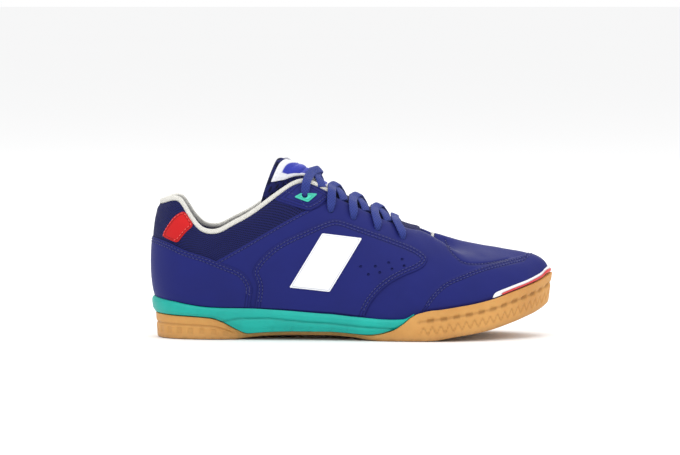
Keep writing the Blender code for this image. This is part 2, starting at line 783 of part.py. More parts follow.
def make_upper():
    """The hollow upper: open at collar and throat, and underneath."""
    turns = turns_all()
    foot = ring(turns, LIP + BED_TUCK + GAP, edge("bed", turns) + GAP)
    foot_inside = ring(turns, LIP + BED_TUCK + GAP + WALL, edge("bed", turns) + GAP)
    levels = np.linspace(0.0, 1.0, SKIN_ROWS)
    outer = [foot] + [skin(turns, level + 0 * turns) for level in levels]
    inside = [foot_inside]
    for level in levels:
        inside.append(offset_skin(turns, level + 0 * turns, -wall_at(turns, level)))
    rings = outer + inside[::-1]
    count = len(turns)
    points = [p for one in rings for p in one]
    faces = []
    for k in range(len(rings)):
        here = k * count
        following = ((k + 1) % len(rings)) * count
        if k < len(outer):
            faces += ring_faces(here, following, count)
        else:
            faces += ring_faces(following, here, count)
    return solid("upper", points, faces, NAVY, 0.7)


def tongue_column(column, turns):
    """Read one column of the tongue's table."""
    knots = []
    values = []
    for row in TONGUE_SECTIONS:
        knots.append(turn_of(row[0]))
        values.append(row[column])
    order = np.argsort(knots)
    return np.interp(turns, np.array(knots)[order], np.array(values)[order])


def curve_through(knots, shares):
    """Points on a soft curve through the knots, where a share counts the knots from 0."""
    knots = np.asarray(knots)
    before = 2 * knots[:1] - knots[1:2]
    after = 2 * knots[-1:] - knots[-2:-1]
    held = np.concatenate([before, knots, after])
    shares = np.clip(np.asarray(shares, float), 0.0, len(knots) - 1.0)
    low = np.minimum(shares.astype(int), len(knots) - 2)
    t = (shares - low)[:, None]
    a, b, c, d = held[low], held[low + 1], held[low + 2], held[low + 3]
    return 0.5 * (
        2 * b
        + (c - a) * t
        + (2 * a - 5 * b + 4 * c - d) * t ** 2
        + (3 * b - a - 3 * c + d) * t ** 3
    )


def tongue_row(turn, shares):
    """Points across the tongue's face: share 0 under the outer edge, 3 on the crown, 6 under the inner."""
    ends = []
    for spot in (turn, 2 * math.pi - turn):
        here = np.array([spot])
        depth = wall_at(here, np.ones(1)) + TONGUE_GAP
        ends.append(offset_skin(here, np.ones(1), -depth)[0])
    outer, inner = ends
    move = [tongue_column(column, turn) * COLLAR_HEIGHT for column in range(1, 9)]
    low = np.array(move[0:3])
    high = np.array(move[3:6])
    crown = (outer + inner) / 2 + np.array([move[6], 0.0, move[7]])
    mirror = np.array([1.0, -1.0, 1.0])
    knots = [outer, outer + low, outer + high, crown, inner + high * mirror, inner + low * mirror, inner]
    return curve_through(knots, shares)


def tongue_normal(turn, shares):
    """The direction out of the tongue's face."""
    step = 0.02
    lengthwise = tongue_row(turn - step, shares) - tongue_row(turn + step, shares)
    sideways = tongue_row(turn, shares + step) - tongue_row(turn, shares - step)
    normal = np.cross(lengthwise, sideways)
    return normal / np.linalg.norm(normal, axis=-1, keepdims=True)


def tongue_turns():
    """The stations of the throat, from its front to the tongue's top edge."""
    turns = turns_all()
    front = turn_of(TONGUE_SECTIONS[-1][0])
    back = turn_of(TONGUE_SECTIONS[0][0]) + 0.01
    return turns[(turns > front) & (turns < back)]


def make_tongue():
    """The tongue: under both edges of the throat, arched between them, and up past the collar."""
    turns = tongue_turns()
    levels = np.linspace(0.0, 1.0, SKIN_ROWS)[-TUCK_ROWS:-1]
    rows = []
    for turn in turns:
        sides = []
        for spot in (turn, 2 * math.pi - turn):
            here = np.full(len(levels), spot)
            depth = wall_at(here, levels) + TONGUE_GAP
            sides.append(offset_skin(here, levels, -depth))
        rows.append(np.concatenate([sides[0], tongue_row(turn, np.arange(0.0, 6.5, 0.5)), sides[1][::-1]]))
    top = np.array(rows)
    lengthwise = np.gradient(top, axis=0)
    sideways = np.gradient(top, axis=1)
    normal = np.cross(sideways, lengthwise)
    normal = normal / np.linalg.norm(normal, axis=-1, keepdims=True)
    if normal[len(turns) // 2, top.shape[1] // 2][2] < 0:
        normal = -normal
    column = np.arange(top.shape[1])
    taper = np.clip(np.minimum(column, column[::-1]) / 3.0, 0.35, 1.0)
    under = top - normal * (TONGUE_PAD * taper)[None, :, None]
    return sheet_solid("tongue", top, under, MESH_NAVY, 0.85)


def make_tongue_label():
    """The woven label on the tongue's face."""
    turns = tongue_turns()
    turns = turns[turns > turn_of(LABEL_FRONT)]
    turns[-1] = turn_of(LABEL_BACK)
    shares = np.arange(LABEL_SHARE, 6.0 - LABEL_SHARE + 0.25, 0.5)
    face = np.array([tongue_row(turn, shares) for turn in turns])
    normal = np.array([tongue_normal(turn, shares) for turn in turns])
    top = face + normal * (LABEL_GAP + OVERLAY)
    under = face + normal * LABEL_GAP
    return sheet_solid("tongue_label", top, under, LABEL_BLUE, 0.6)


def sheet_solid(name, top, under, colour, roughness):
    """A closed sheet from its two faces, each a grid of points."""
    rows, columns = top.shape[:2]
    points = list(top.reshape(-1, 3)) + list(under.reshape(-1, 3))
    shift = rows * columns
    faces = []
    for i in range(rows - 1):
        for j in range(columns - 1):
            a = i * columns + j
            faces.append((a, a + 1, a + 1 + columns, a + columns))
            faces.append((a + shift, a + columns + shift, a + 1 + columns + shift, a + 1 + shift))
    border = [j for j in range(columns)]
    border += [i * columns + columns - 1 for i in range(1, rows)]
    border += [(rows - 1) * columns + j for j in range(columns - 2, -1, -1)]
    border += [i * columns for i in range(rows - 2, 0, -1)]
    for a, b in zip(border, border[1:] + border[:1]):
        faces.append((a, a + shift, b + shift, b))
    return solid(name, points, faces, colour, roughness)


def tube_solid(name, rings, colour, roughness):
    """A closed tube from its cross-sections, capped at both ends."""
    count = len(rings[0])
    points = [p for one in rings for p in one]
    faces = []
    for k in range(len(rings) - 1):
        faces += ring_faces(k * count, (k + 1) * count, count)
    last = (len(rings) - 1) * count
    faces.append(tuple(range(count)))
    faces.append(tuple(range(last, last + count)))
    return solid(name, points, faces, colour, roughness)


def stations_between(first, last):
    """The stations from one turn to another, counted on past the toe when last is behind first."""
    turns = turns_all()
    if last < first:
        turns = np.concatenate([turns - 2 * math.pi, turns])
        first = first - 2 * math.pi
    return turns[(turns >= first) & (turns <= last)]


def make_binding(name, first, last, width):
    """A round edge binding that stands on the opening's rim from one turn to another."""
    turns = stations_between(first, last)
    full = np.ones(len(turns))
    top = skin(turns, full)
    onward = top - skin(turns, full * 0.97)
    onward = onward / np.linalg.norm(onward, axis=-1, keepdims=True)
    normal = skin_normal(turns, full)
    sink = wall_at(turns, full) - width / 2 - BINDING_RISE
    centre = top - normal * sink[:, None] + onward * (width / 2 + OVERLAY_GAP)
    rings = []
    for k in range(len(turns)):
        angles = np.arange(BEAD_SIDES) * 2 * math.pi / BEAD_SIDES
        out = np.cos(angles)[:, None] * normal[k] + np.sin(angles)[:, None] * onward[k]
        rings.append(centre[k] + out * width / 2)
    return tube_solid(name, rings, WHITE, 0.7)


def make_bindings():
    """The collar's padded binding and the throat's thin one."""
    make_binding("collar_binding", turn_of(0.484), turn_of(0.484, outer=False), COLLAR_BINDING)
    make_binding("throat_binding", turn_of(0.83, outer=False), turn_of(0.83), THROAT_BINDING)


def prism(name, shape, low, high):
    """A tool: the side view outline, in shares of length and collar height, drawn out sideways."""
    count = len(shape)
    points = []
    for side in (low, high):
        for along, rise in shape:
            points.append(((along - 0.5) * LENGTH, side, rise * COLLAR_HEIGHT))
    faces = [tuple(range(count)), tuple(range(count, 2 * count))] + ring_faces(0, count, count)
    tool = solid(name, points, faces, WHITE, 0.5)
    tool.hide_render = True
    tool.display_type = "WIRE"
    return tool


def boolean(target, tool, operation):
    """Join, cut or keep by another object."""
    cut = target.modifiers.new(tool.name, "BOOLEAN")
    cut.operation = operation
    cut.solver = "EXACT"
    cut.object = tool


def make_overlay(name, shape, first, last, sides, layer, colour, roughness=0.5):
    """A panel that follows the upper's own face, cut to a side view outline."""
    turns = stations_between(first, last)
    levels = np.linspace(0.0, 1.0, SKIN_ROWS)
    levels[0] = OVERLAY_FOOT
    low = OVERLAY_GAP
    thick = OVERLAY
    if layer == 2:
        low = 2 * OVERLAY_GAP + OVERLAY
        thick = TOP_OVERLAY
    grid_turns, grid_levels = np.meshgrid(turns, levels, indexing="ij")
    shell_shape = grid_turns.shape + (3,)
    flat = (grid_turns.ravel(), grid_levels.ravel())
    under = offset_skin(*flat, low).reshape(shell_shape)
    top = offset_skin(*flat, low + thick).reshape(shell_shape)
    panel = sheet_solid(name, top, under, colour, roughness)
    tool = prism(f"{name}_tool", shape, sides[0] * BALL_WIDTH, sides[1] * BALL_WIDTH)
    boolean(panel, tool, "INTERSECT")
    return panel


def make_pair(name, shape, back, front, layer, colour, roughness=0.5):
    """The same panel on both sides of the shoe, between two stations."""
    outer = make_overlay(
        f"{name}_lateral",
        shape,
        turn_of(front),
        turn_of(back),
        (-1.0, 0.0),
        layer,
        colour,
        roughness,
    )
    inner = make_overlay(
        f"{name}_medial",
        shape,
        turn_of(back, outer=False),
        turn_of(front, outer=False),
        (0.0, 1.0),
        layer,
        colour,
        roughness,
    )
    return outer, inner


def above_lip(table):
    """A side view outline from a table of heights above the sole's lip."""
    low = []
    high = []
    for along, bottom, top in table:
        lip = float(edge("lip", np.array([turn_of(along)]))[0])
        low.append((along, (lip + bottom * SOLE_HEIGHT) / COLLAR_HEIGHT))
        high.append((along, (lip + top * SOLE_HEIGHT) / COLLAR_HEIGHT))
    return high + low[::-1]


def make_overlays():
    """The stitched panels, the heel counter and the toe guard."""
    make_pair("side_panel", SIDE_PANEL, 0.20, 0.80, 1, NAVY)
    make_pair("side_badge", SIDE_BADGE, 0.30, 0.62, 2, WHITE, 0.4)
    make_pair("heel_panel", HEEL_PANEL, 0.0, 0.16, 1, RED)
    tabs = make_pair("eyelet_tab", EYELET_TAB, 0.28, 0.50, 1, NAVY)
    patches = make_pair("eyelet_patch", EYELET_PATCH, 0.33, 0.46, 2, TEAL)
    back = turn_of(0.30)
    make_overlay("heel_counter", HEEL_COUNTER, back, 2 * math.pi - back, (-1.0, 1.0), 1, NAVY)
    front = turn_of(0.80)
    make_overlay("toe_guard", above_lip(TOE_GUARD), 2 * math.pi - front, front, (-1.0, 1.0), 1, WHITE)
    make_overlay("toe_guard_stripe", above_lip(TOE_STRIPE), 2 * math.pi - front, front, (-1.0, 1.0), 2, RED)
    return list(tabs) + list(patches)


def cut_eyelets(upper, overlays):
    """Holes through the upper's wall, and through what lies on it at the top eyelet."""
    for number, (along, level) in enumerate(EYELETS):
        for outer in (True, False):
            here = np.array([turn_of(along, outer)])
            spot = skin(here, np.array([level]))[0]
            normal = skin_normal(here, np.array([level]))[0]
            bpy.ops.mesh.primitive_cylinder_add(
                vertices=EYELET_SIDES,
                radius=EYELET_RADIUS,
                depth=2 * EYELET_DEPTH,
                location=tuple(map(float, spot)),
            )
            drill = bpy.context.object
            drill.name = f"eyelet_drill_{number}_{'outer' if outer else 'inner'}"
            turned = Vector(tuple(map(float, normal))).to_track_quat("Z", "Y")
            drill.rotation_euler = turned.to_euler()
            drill.hide_render = True
            drill.display_type = "WIRE"
            boolean(upper, drill, "DIFFERENCE")
            if number == 0:
                side = "lateral" if outer else "medial"
                for panel in overlays:
                    if panel.name.endswith(side):
                        boolean(panel, drill, "DIFFERENCE")


def strand(name, path, normals):
    """A flat lace along a path of knots, its flat side to the normals."""
    shares = np.linspace(0.0, len(path) - 1.0, LACE_STEPS)
    spots = curve_through(path, shares)
    up = curve_through(normals, shares)
    along = np.gradient(spots, axis=0)
    along = along / np.linalg.norm(along, axis=-1, keepdims=True)
    side = np.cross(along, up)
    side = side / np.linalg.norm(side, axis=-1, keepdims=True)
    up = np.cross(side, along)
    rings = []
    for k in range(len(spots)):
        ring_points = []
        for out, rise in ((-0.5, 0.0), (-0.36, 0.5), (0.36, 0.5), (0.5, 0.0), (0.36, -0.5), (-0.36, -0.5)):
            ring_points.append(spots[k] + side[k] * out * LACE_WIDTH + up[k] * rise * LACE_THICKNESS)
        rings.append(ring_points)
    return tube_solid(name, rings, LACE_BLUE, 0.8)


def over_edge(turn, level, lift):
    """A lace's knot off the upper's face, with its normal."""
    here = np.array([turn])
    at = np.array([level])
    return offset_skin(here, at, lift)[0], skin_normal(here, at)[0]


def over_tongue(turn, share, lift):
    """A lace's knot off the tongue's face, with its normal."""
    at = np.array([share])
    normal = tongue_normal(turn, at)[0]
    return tongue_row(turn, at)[0] + normal * (lift + LACE_THICKNESS / 2), normal


def lace_side(turn, outer):
    """A turn of the throat, on the outer or the inner side."""
    return turn if outer else 2 * math.pi - turn


def crossing_strand(name, number, outer, extra):
    """One strand from an eyelet over the tongue, toward the next eyelet across."""
    start = turn_of(EYELETS[number][0])
    end = turn_of(EYELETS[number + 1][0])
    level = EYELETS[number][1]
    low, edge_lift, _ = LACE_OVER[number]
    knots = [
        over_edge(lace_side(start, outer), level + 0.02, low),
        over_edge(lace_side(start + (end - start) * 0.06, outer), 1.0, edge_lift),
    ]
    for share, mix, lift in ((1.8, 0.24, 0.3), (3.0, 0.50, 1.0), (4.0, 0.76, 0.5), (4.9, 1.0, 0.0)):
        turn = start + (end - start) * mix * LACE_SPAN
        stand_off = LACE_OVER[number][2] + extra * lift
        knots.append(over_tongue(turn, share if outer else 6.0 - share, stand_off))
    return strand(name, [k[0] for k in knots], [k[1] for k in knots])


def make_laces():
    """Four crossings and the bar at the front eyelets."""
    for number in range(len(EYELETS) - 1):
        first = crossing_strand(f"lace_crossing_{number + 1}", number, True, LACE_THICKNESS * 0.8)
        other = crossing_strand(f"lace_strand_{number + 1}", number, False, 0.0)
        other.hide_render = True
        other.display_type = "WIRE"
        boolean(first, other, "UNION")
    along, level = EYELETS[-1]
    turn = turn_of(along)
    low, edge_lift, stand_off = LACE_OVER[-1]
    knots = [over_edge(turn, level + 0.02, low), over_edge(turn, 1.0, edge_lift)]
    for share in (1.8, 3.0, 4.2):
        knots.append(over_tongue(turn, share, stand_off))
    knots += [over_edge(-turn, 1.0, edge_lift), over_edge(-turn, level + 0.02, low)]
    strand("lace_bar", [k[0] for k in knots], [k[1] for k in knots])


def main():
    """Build the shoe, piece by piece."""
    clear_scene()
    make_outsole()
    make_midsole()
    make_insole()
    upper = make_upper()
    make_tongue()
    make_tongue_label()
    make_bindings()
    overlays = make_overlays()
    cut_eyelets(upper, overlays)
    make_laces()


main()
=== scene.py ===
"""Indoor soccer shoe for the right foot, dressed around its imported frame.

+X runs to the toe, +Y to the inner side of the foot, +Z up, in metres. A turn is an angle round the
shoe: 0 at the toe tip, a quarter turn on the outer side, half a turn at the back of the heel.
"""
import logging
import math
from dataclasses import dataclass
from enum import Enum
from typing import Callable, Sequence

import bpy
import numpy as np
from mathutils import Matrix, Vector
from mathutils.kdtree import KDTree


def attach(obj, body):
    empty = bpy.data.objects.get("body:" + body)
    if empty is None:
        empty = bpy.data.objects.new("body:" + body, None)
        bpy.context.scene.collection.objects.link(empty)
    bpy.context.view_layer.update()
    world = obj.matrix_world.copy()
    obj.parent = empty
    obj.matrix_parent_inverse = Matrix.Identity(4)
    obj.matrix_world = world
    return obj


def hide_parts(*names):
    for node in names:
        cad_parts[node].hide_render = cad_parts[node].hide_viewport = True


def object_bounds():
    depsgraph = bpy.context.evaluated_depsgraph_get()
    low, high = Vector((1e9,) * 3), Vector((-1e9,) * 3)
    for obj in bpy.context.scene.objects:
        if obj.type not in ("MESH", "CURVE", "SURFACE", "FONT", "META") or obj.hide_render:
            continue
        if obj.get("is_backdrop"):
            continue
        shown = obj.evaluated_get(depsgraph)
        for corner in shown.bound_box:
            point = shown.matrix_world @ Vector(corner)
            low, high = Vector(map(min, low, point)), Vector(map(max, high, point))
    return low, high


LOG = logging.getLogger("shoe")
Array = np.ndarray
Colour = tuple[float, float, float]

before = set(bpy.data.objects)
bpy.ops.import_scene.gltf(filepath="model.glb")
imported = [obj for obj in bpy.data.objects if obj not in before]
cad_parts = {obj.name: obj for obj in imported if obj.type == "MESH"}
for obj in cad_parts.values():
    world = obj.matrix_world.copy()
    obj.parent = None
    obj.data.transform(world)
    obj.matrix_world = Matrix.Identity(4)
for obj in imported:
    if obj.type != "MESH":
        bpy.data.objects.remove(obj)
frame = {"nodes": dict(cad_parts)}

# The sole's widest line: along the length, outer and inner half width as shares of the ball width
OUTLINE = (
    # along, outer, inner
    (0.000, 0.000, 0.000),
    (0.020, 0.178, 0.178),
    (0.050, 0.262, 0.258),
    (0.100, 0.322, 0.318),
    (0.150, 0.346, 0.340),
    (0.250, 0.362, 0.338),
    (0.350, 0.378, 0.318),
    (0.450, 0.412, 0.312),
    (0.550, 0.466, 0.362),
    (0.620, 0.500, 0.432),
    (0.700, 0.515, 0.495),
    (0.750, 0.508, 0.514),
    (0.800, 0.474, 0.508),
    (0.850, 0.412, 0.478),
    (0.900, 0.318, 0.416),
    (0.950, 0.182, 0.312),
    (0.980, 0.066, 0.212),
    (1.000, -0.070, 0.070),
)

# Heights of the sole's edge: lift is the underside as a share of the toe spring; gum, lip and bed
# stand above the underside as shares of the sole height; gum_in and base_in are insets in lips
SOLE_EDGE = (
    # along, lift, gum, lip, bed, gum_in, base_in
    (0.000, 0.000, 0.590, 0.985, 0.680, 0.90, 1.30),
    (0.050, 0.000, 0.555, 0.900, 0.650, 0.90, 1.10),
    (0.100, 0.000, 0.535, 0.820, 0.630, 0.90, 1.10),
    (0.150, 0.000, 0.500, 0.768, 0.610, 0.90, 1.10),
    (0.180, 0.000, 0.400, 0.758, 0.600, 1.20, 1.40),
    (0.210, 0.005, 0.240, 0.750, 0.585, 1.80, 2.10),
    (0.245, 0.040, 0.090, 0.710, 0.540, 2.70, 3.00),
    (0.280, 0.070, 0.085, 0.665, 0.480, 3.10, 3.40),
    (0.360, 0.095, 0.085, 0.590, 0.400, 3.10, 3.40),
    (0.440, 0.095, 0.085, 0.535, 0.350, 3.10, 3.40),
    (0.500, 0.060, 0.085, 0.515, 0.345, 2.80, 3.10),
    (0.540, 0.015, 0.110, 0.528, 0.350, 1.40, 1.90),
    (0.570, 0.000, 0.160, 0.520, 0.345, 0.60, 1.20),
    (0.600, 0.000, 0.260, 0.515, 0.330, 0.35, 0.90),
    (0.625, 0.000, 0.420, 0.530, 0.320, 0.20, 0.80),
    (0.645, 0.000, 0.585, 0.610, 0.310, 0.10, 0.80),
    (0.665, 0.000, 0.670, 0.675, 0.300, 0.00, 0.80),
    (0.700, 0.015, 0.725, 0.725, 0.305, 0.00, 0.80),
    (0.750, 0.095, 0.710, 0.710, 0.300, 0.00, 0.80),
    (0.800, 0.170, 0.715, 0.715, 0.290, 0.00, 0.80),
    (0.850, 0.270, 0.725, 0.725, 0.280, 0.00, 0.80),
    (0.900, 0.400, 0.750, 0.750, 0.280, 0.00, 0.80),
    (0.950, 0.550, 0.750, 0.750, 0.280, 0.00, 0.90),
    (1.000, 0.800, 0.730, 0.730, 0.230, 0.00, 1.00),
)

# The upper, outer side: from the feather line at 'along' to the opening's edge. edge_along is a share
# of the length, edge_side of the ball width, edge_rise of the collar height. The section's two handles
# are shares of the collar height: low one out and up, high one forward, out and down from the edge
UPPER_OUTER = (
    # along, edge_along, edge_side, edge_rise, low_out, low_up, high_fore, high_out, high_down
    (0.000, 0.0200, 0.000, 0.960, 0.045, 0.120, -0.065, 0.000, 0.230),
    (0.015, 0.0245, 0.080, 0.962, 0.045, 0.120, -0.055, 0.030, 0.230),
    (0.040, 0.0400, 0.150, 0.976, 0.045, 0.130, -0.035, 0.050, 0.230),
    (0.065, 0.0570, 0.190, 0.988, 0.044, 0.140, -0.020, 0.075, 0.230),
    (0.085, 0.0720, 0.212, 0.977, 0.043, 0.150, -0.010, 0.085, 0.230),
    (0.105, 0.0850, 0.230, 0.930, 0.042, 0.160, 0.000, 0.085, 0.220),
    (0.125, 0.0990, 0.252, 0.862, 0.041, 0.160, 0.000, 0.080, 0.210),
    (0.145, 0.1180, 0.276, 0.792, 0.040, 0.160, 0.000, 0.070, 0.200),
    (0.175, 0.1450, 0.298, 0.755, 0.036, 0.150, 0.000, 0.058, 0.190),
    (0.205, 0.1720, 0.304, 0.764, 0.032, 0.150, 0.000, 0.058, 0.190),
    (0.235, 0.2020, 0.300, 0.811, 0.030, 0.160, 0.000, 0.070, 0.200),
    (0.265, 0.2370, 0.284, 0.865, 0.030, 0.180, 0.000, 0.090, 0.220),
    (0.300, 0.2800, 0.256, 0.950, 0.028, 0.205, 0.000, 0.110, 0.230),
    (0.335, 0.3270, 0.212, 1.047, 0.027, 0.225, 0.000, 0.130, 0.230),
    (0.365, 0.3600, 0.184, 1.100, 0.026, 0.240, 0.000, 0.145, 0.225),
    (0.395, 0.3840, 0.170, 1.108, 0.025, 0.250, 0.000, 0.155, 0.215),
    (0.430, 0.4090, 0.160, 1.084, 0.022, 0.260, 0.010, 0.160, 0.190),
    (0.480, 0.4510, 0.153, 1.022, 0.020, 0.260, 0.030, 0.165, 0.165),
    (0.550, 0.5140, 0.150, 0.938, 0.020, 0.245, 0.055, 0.170, 0.135),
    (0.620, 0.5710, 0.146, 0.859, 0.020, 0.225, 0.080, 0.170, 0.105),
    (0.690, 0.6330, 0.138, 0.793, 0.020, 0.205, 0.100, 0.165, 0.075),
    (0.740, 0.6560, 0.133, 0.778, 0.020, 0.195, 0.125, 0.155, 0.060),
    (0.785, 0.6710, 0.130, 0.767, 0.019, 0.190, 0.155, 0.145, 0.050),
    (0.820, 0.6830, 0.130, 0.735, 0.018, 0.190, 0.180, 0.130, 0.035),
    (0.850, 0.6870, 0.130, 0.690, 0.016, 0.190, 0.215, 0.110, 0.020),
    (0.880, 0.6920, 0.115, 0.658, 0.014, 0.190, 0.260, 0.095, 0.010),
    (0.920, 0.6990, 0.080, 0.675, 0.011, 0.190, 0.330, 0.065, 0.050),
    (0.960, 0.7040, 0.040, 0.722, 0.008, 0.193, 0.380, 0.035, 0.120),
    (1.000, 0.7055, 0.000, 0.746, 0.005, 0.195, 0.400, 0.000, 0.150),
)

# The inner side, with the same columns
UPPER_INNER = (
    (0.015, 0.0245, 0.080, 0.962, 0.045, 0.120, -0.055, 0.030, 0.230),
    (0.040, 0.0400, 0.150, 0.976, 0.045, 0.130, -0.035, 0.050, 0.230),
    (0.065, 0.0570, 0.190, 0.988, 0.044, 0.140, -0.020, 0.075, 0.230),
    (0.085, 0.0720, 0.212, 0.977, 0.043, 0.150, -0.010, 0.085, 0.230),
    (0.105, 0.0850, 0.230, 0.932, 0.043, 0.160, 0.000, 0.085, 0.220),
    (0.125, 0.0990, 0.252, 0.866, 0.043, 0.160, 0.000, 0.080, 0.210),
    (0.145, 0.1180, 0.276, 0.800, 0.044, 0.160, 0.000, 0.070, 0.200),
    (0.175, 0.1450, 0.298, 0.765, 0.048, 0.160, 0.000, 0.058, 0.190),
    (0.205, 0.1720, 0.304, 0.774, 0.050, 0.170, 0.000, 0.058, 0.190),
    (0.235, 0.2020, 0.300, 0.819, 0.053, 0.180, 0.000, 0.070, 0.200),
    (0.265, 0.2370, 0.284, 0.871, 0.056, 0.190, 0.000, 0.090, 0.220),
    (0.300, 0.2800, 0.256, 0.954, 0.058, 0.210, 0.000, 0.110, 0.230),
    (0.335, 0.3270, 0.212, 1.049, 0.060, 0.230, 0.000, 0.130, 0.230),
    (0.365, 0.3600, 0.184, 1.101, 0.060, 0.240, 0.000, 0.145, 0.225),
    (0.395, 0.3840, 0.170, 1.109, 0.060, 0.250, 0.000, 0.155, 0.215),
    (0.430, 0.4090, 0.160, 1.085, 0.058, 0.260, 0.010, 0.160, 0.190),
    (0.480, 0.4510, 0.153, 1.023, 0.054, 0.260, 0.030, 0.165, 0.165),
    (0.550, 0.5140, 0.150, 0.939, 0.046, 0.245, 0.055, 0.170, 0.135),
    (0.620, 0.5710, 0.146, 0.860, 0.036, 0.225, 0.080, 0.172, 0.105),
    (0.690, 0.6330, 0.138, 0.794, 0.028, 0.205, 0.100, 0.170, 0.075),
    (0.740, 0.6560, 0.133, 0.779, 0.024, 0.195, 0.125, 0.165, 0.060),
    (0.785, 0.6710, 0.130, 0.768, 0.021, 0.190, 0.155, 0.155, 0.050),
    (0.820, 0.6830, 0.130, 0.736, 0.018, 0.190, 0.180, 0.140, 0.035),
    (0.850, 0.6870, 0.130, 0.691, 0.016, 0.190, 0.215, 0.125, 0.020),
    (0.880, 0.6920, 0.115, 0.659, 0.014, 0.190, 0.260, 0.110, 0.010),
    (0.920, 0.6990, 0.080, 0.675, 0.011, 0.190, 0.330, 0.075, 0.050),
    (0.960, 0.7040, 0.040, 0.722, 0.008, 0.193, 0.380, 0.040, 0.120),
)

# The tongue between the two edges: two handles a side, from the edge, as shares of the collar height
TONGUE_SECTIONS = (
    # along, low_fore, low_in, low_up, high_fore, high_in, high_up, crown_fore, crown_up
    (0.296, 0.000, 0.030, 0.052, 0.120, 0.035, 0.345, 0.225, 0.325),
    (0.330, 0.000, 0.031, 0.050, 0.060, 0.052, 0.190, 0.130, 0.210),
    (0.365, 0.000, 0.034, 0.048, 0.030, 0.080, 0.100, 0.065, 0.120),
    (0.395, 0.000, 0.036, 0.046, 0.020, 0.085, 0.075, 0.040, 0.090),
    (0.430, 0.000, 0.040, 0.042, 0.000, 0.090, 0.064, 0.010, 0.075),
    (0.480, 0.000, 0.040, 0.040, 0.000, 0.090, 0.060, 0.000, 0.070),
    (0.620, 0.000, 0.040, 0.038, 0.000, 0.090, 0.058, 0.000, 0.067),
    (0.690, 0.000, 0.040, 0.032, 0.000, 0.088, 0.050, 0.000, 0.057),
    (0.785, -0.005, 0.036, 0.024, -0.005, 0.080, 0.042, 0.000, 0.050),
    (0.820, -0.020, 0.030, 0.002, -0.020, 0.074, 0.014, -0.015, 0.020),
    (0.850, -0.025, 0.028, -0.018, -0.025, 0.070, -0.020, -0.025, -0.020),
    (0.880, -0.025, 0.022, -0.024, -0.025, 0.056, -0.028, -0.025, -0.028),
    (0.957, -0.016, 0.010, -0.018, -0.016, 0.020, -0.022, -0.016, -0.022),
)

# Eyelets: where the feather line stands under each hole, and its level up the upper's section
EYELETS = (
    # along, level
    (0.390, 0.880),
    (0.468, 0.820),
    (0.527, 0.830),
    (0.593, 0.805),
    (0.657, 0.780),
)

# Side view outlines of the panels, as shares of the length and of the collar height
SIDE_PANEL = (
    # along, rise
    (0.250, 0.494),
    (0.274, 0.593),
    (0.318, 0.700),
    (0.369, 0.766),
    (0.437, 0.852),
    (0.464, 0.864),
    (0.518, 0.806),
    (0.604, 0.719),
    (0.654, 0.663),
    (0.683, 0.607),
    (0.685, 0.573),
    (0.671, 0.517),
    (0.619, 0.462),
    (0.578, 0.389),
    (0.546, 0.289),
    (0.527, 0.177),
    (0.520, 0.080),
    (0.262, 0.080),
    (0.258, 0.238),
    (0.267, 0.362),
    (0.262, 0.425),
)

SIDE_BADGE = (
    # along, rise
    (0.344, 0.378),
    (0.443, 0.349),
    (0.523, 0.729),
    (0.425, 0.764),
)

HEEL_PANEL = (
    # along, rise
    (0.083, 0.924),
    (0.059, 0.885),
    (0.041, 0.816),
    (0.026, 0.735),
    (0.066, 0.690),
    (0.076, 0.728),
    (0.090, 0.777),
    (0.108, 0.818),
)

HEEL_COUNTER = (
    # along, rise
    (-0.030, 0.740),
    (0.004, 0.726),
    (0.045, 0.695),
    (0.084, 0.639),
    (0.133, 0.601),
    (0.181, 0.543),
    (0.228, 0.494),
    (0.247, 0.419),
    (0.253, 0.362),
    (0.245, 0.238),
    (0.244, 0.080),
    (-0.030, 0.080),
)

EYELET_TAB = (
    # along, rise
    (0.304, 1.000),
    (0.340, 1.080),
    (0.365, 1.140),
    (0.385, 1.140),
    (0.449, 1.045),
    (0.441, 1.010),
    (0.418, 0.958),
    (0.391, 0.923),
)

EYELET_PATCH = (
    # along, rise
    (0.355, 1.021),
    (0.375, 1.052),
    (0.414, 1.042),
    (0.390, 0.984),
)

# The toe's guard and its stripe: heights above the sole's lip as shares of the sole height
TOE_GUARD = (
    # along, low, high
    (0.845, -0.300, 0.040),
    (0.850, -0.300, 0.125),
    (0.857, -0.300, 0.150),
    (0.898, -0.300, 0.150),
    (0.937, -0.300, 0.150),
    (0.972, -0.300, 0.170),
    (0.984, -0.300, 0.235),
    (1.030, -0.300, 0.270),
)
TOE_STRIPE = (
    # along, low, high
    (0.869, 0.026, 0.078),
    (0.898, 0.026, 0.082),
    (0.937, 0.026, 0.086),
    (0.972, 0.040, 0.110),
    (0.984, 0.080, 0.165),
    (1.030, 0.105, 0.205),
)

# Seams of the upper in the side view, as shares of the length and of the collar height
BAND_EDGE = (
    # along, rise
    (0.140, 0.520),
    (0.177, 0.585),
    (0.250, 0.706),
    (0.319, 0.822),
    (0.387, 0.928),
    (0.430, 0.985),
)
VAMP_SEAM = (
    # along, rise
    (0.655, 0.150),
    (0.672, 0.246),
    (0.693, 0.334),
    (0.726, 0.420),
    (0.770, 0.475),
    (0.820, 0.524),
    (0.880, 0.560),
    (0.922, 0.580),
)
TOE_ARC = (
    # along, rise
    (0.730, 0.700),
    (0.736, 0.658),
    (0.743, 0.629),
    (0.758, 0.585),
    (0.771, 0.557),
    (0.796, 0.541),
    (0.833, 0.543),
    (0.885, 0.561),
)
PERFORATIONS = (
    # along, rise
    (0.520, 0.527),
    (0.556, 0.528),
    (0.589, 0.552),
    (0.622, 0.575),
    (0.539, 0.472),
    (0.567, 0.484),
    (0.597, 0.508),
    (0.627, 0.530),
)

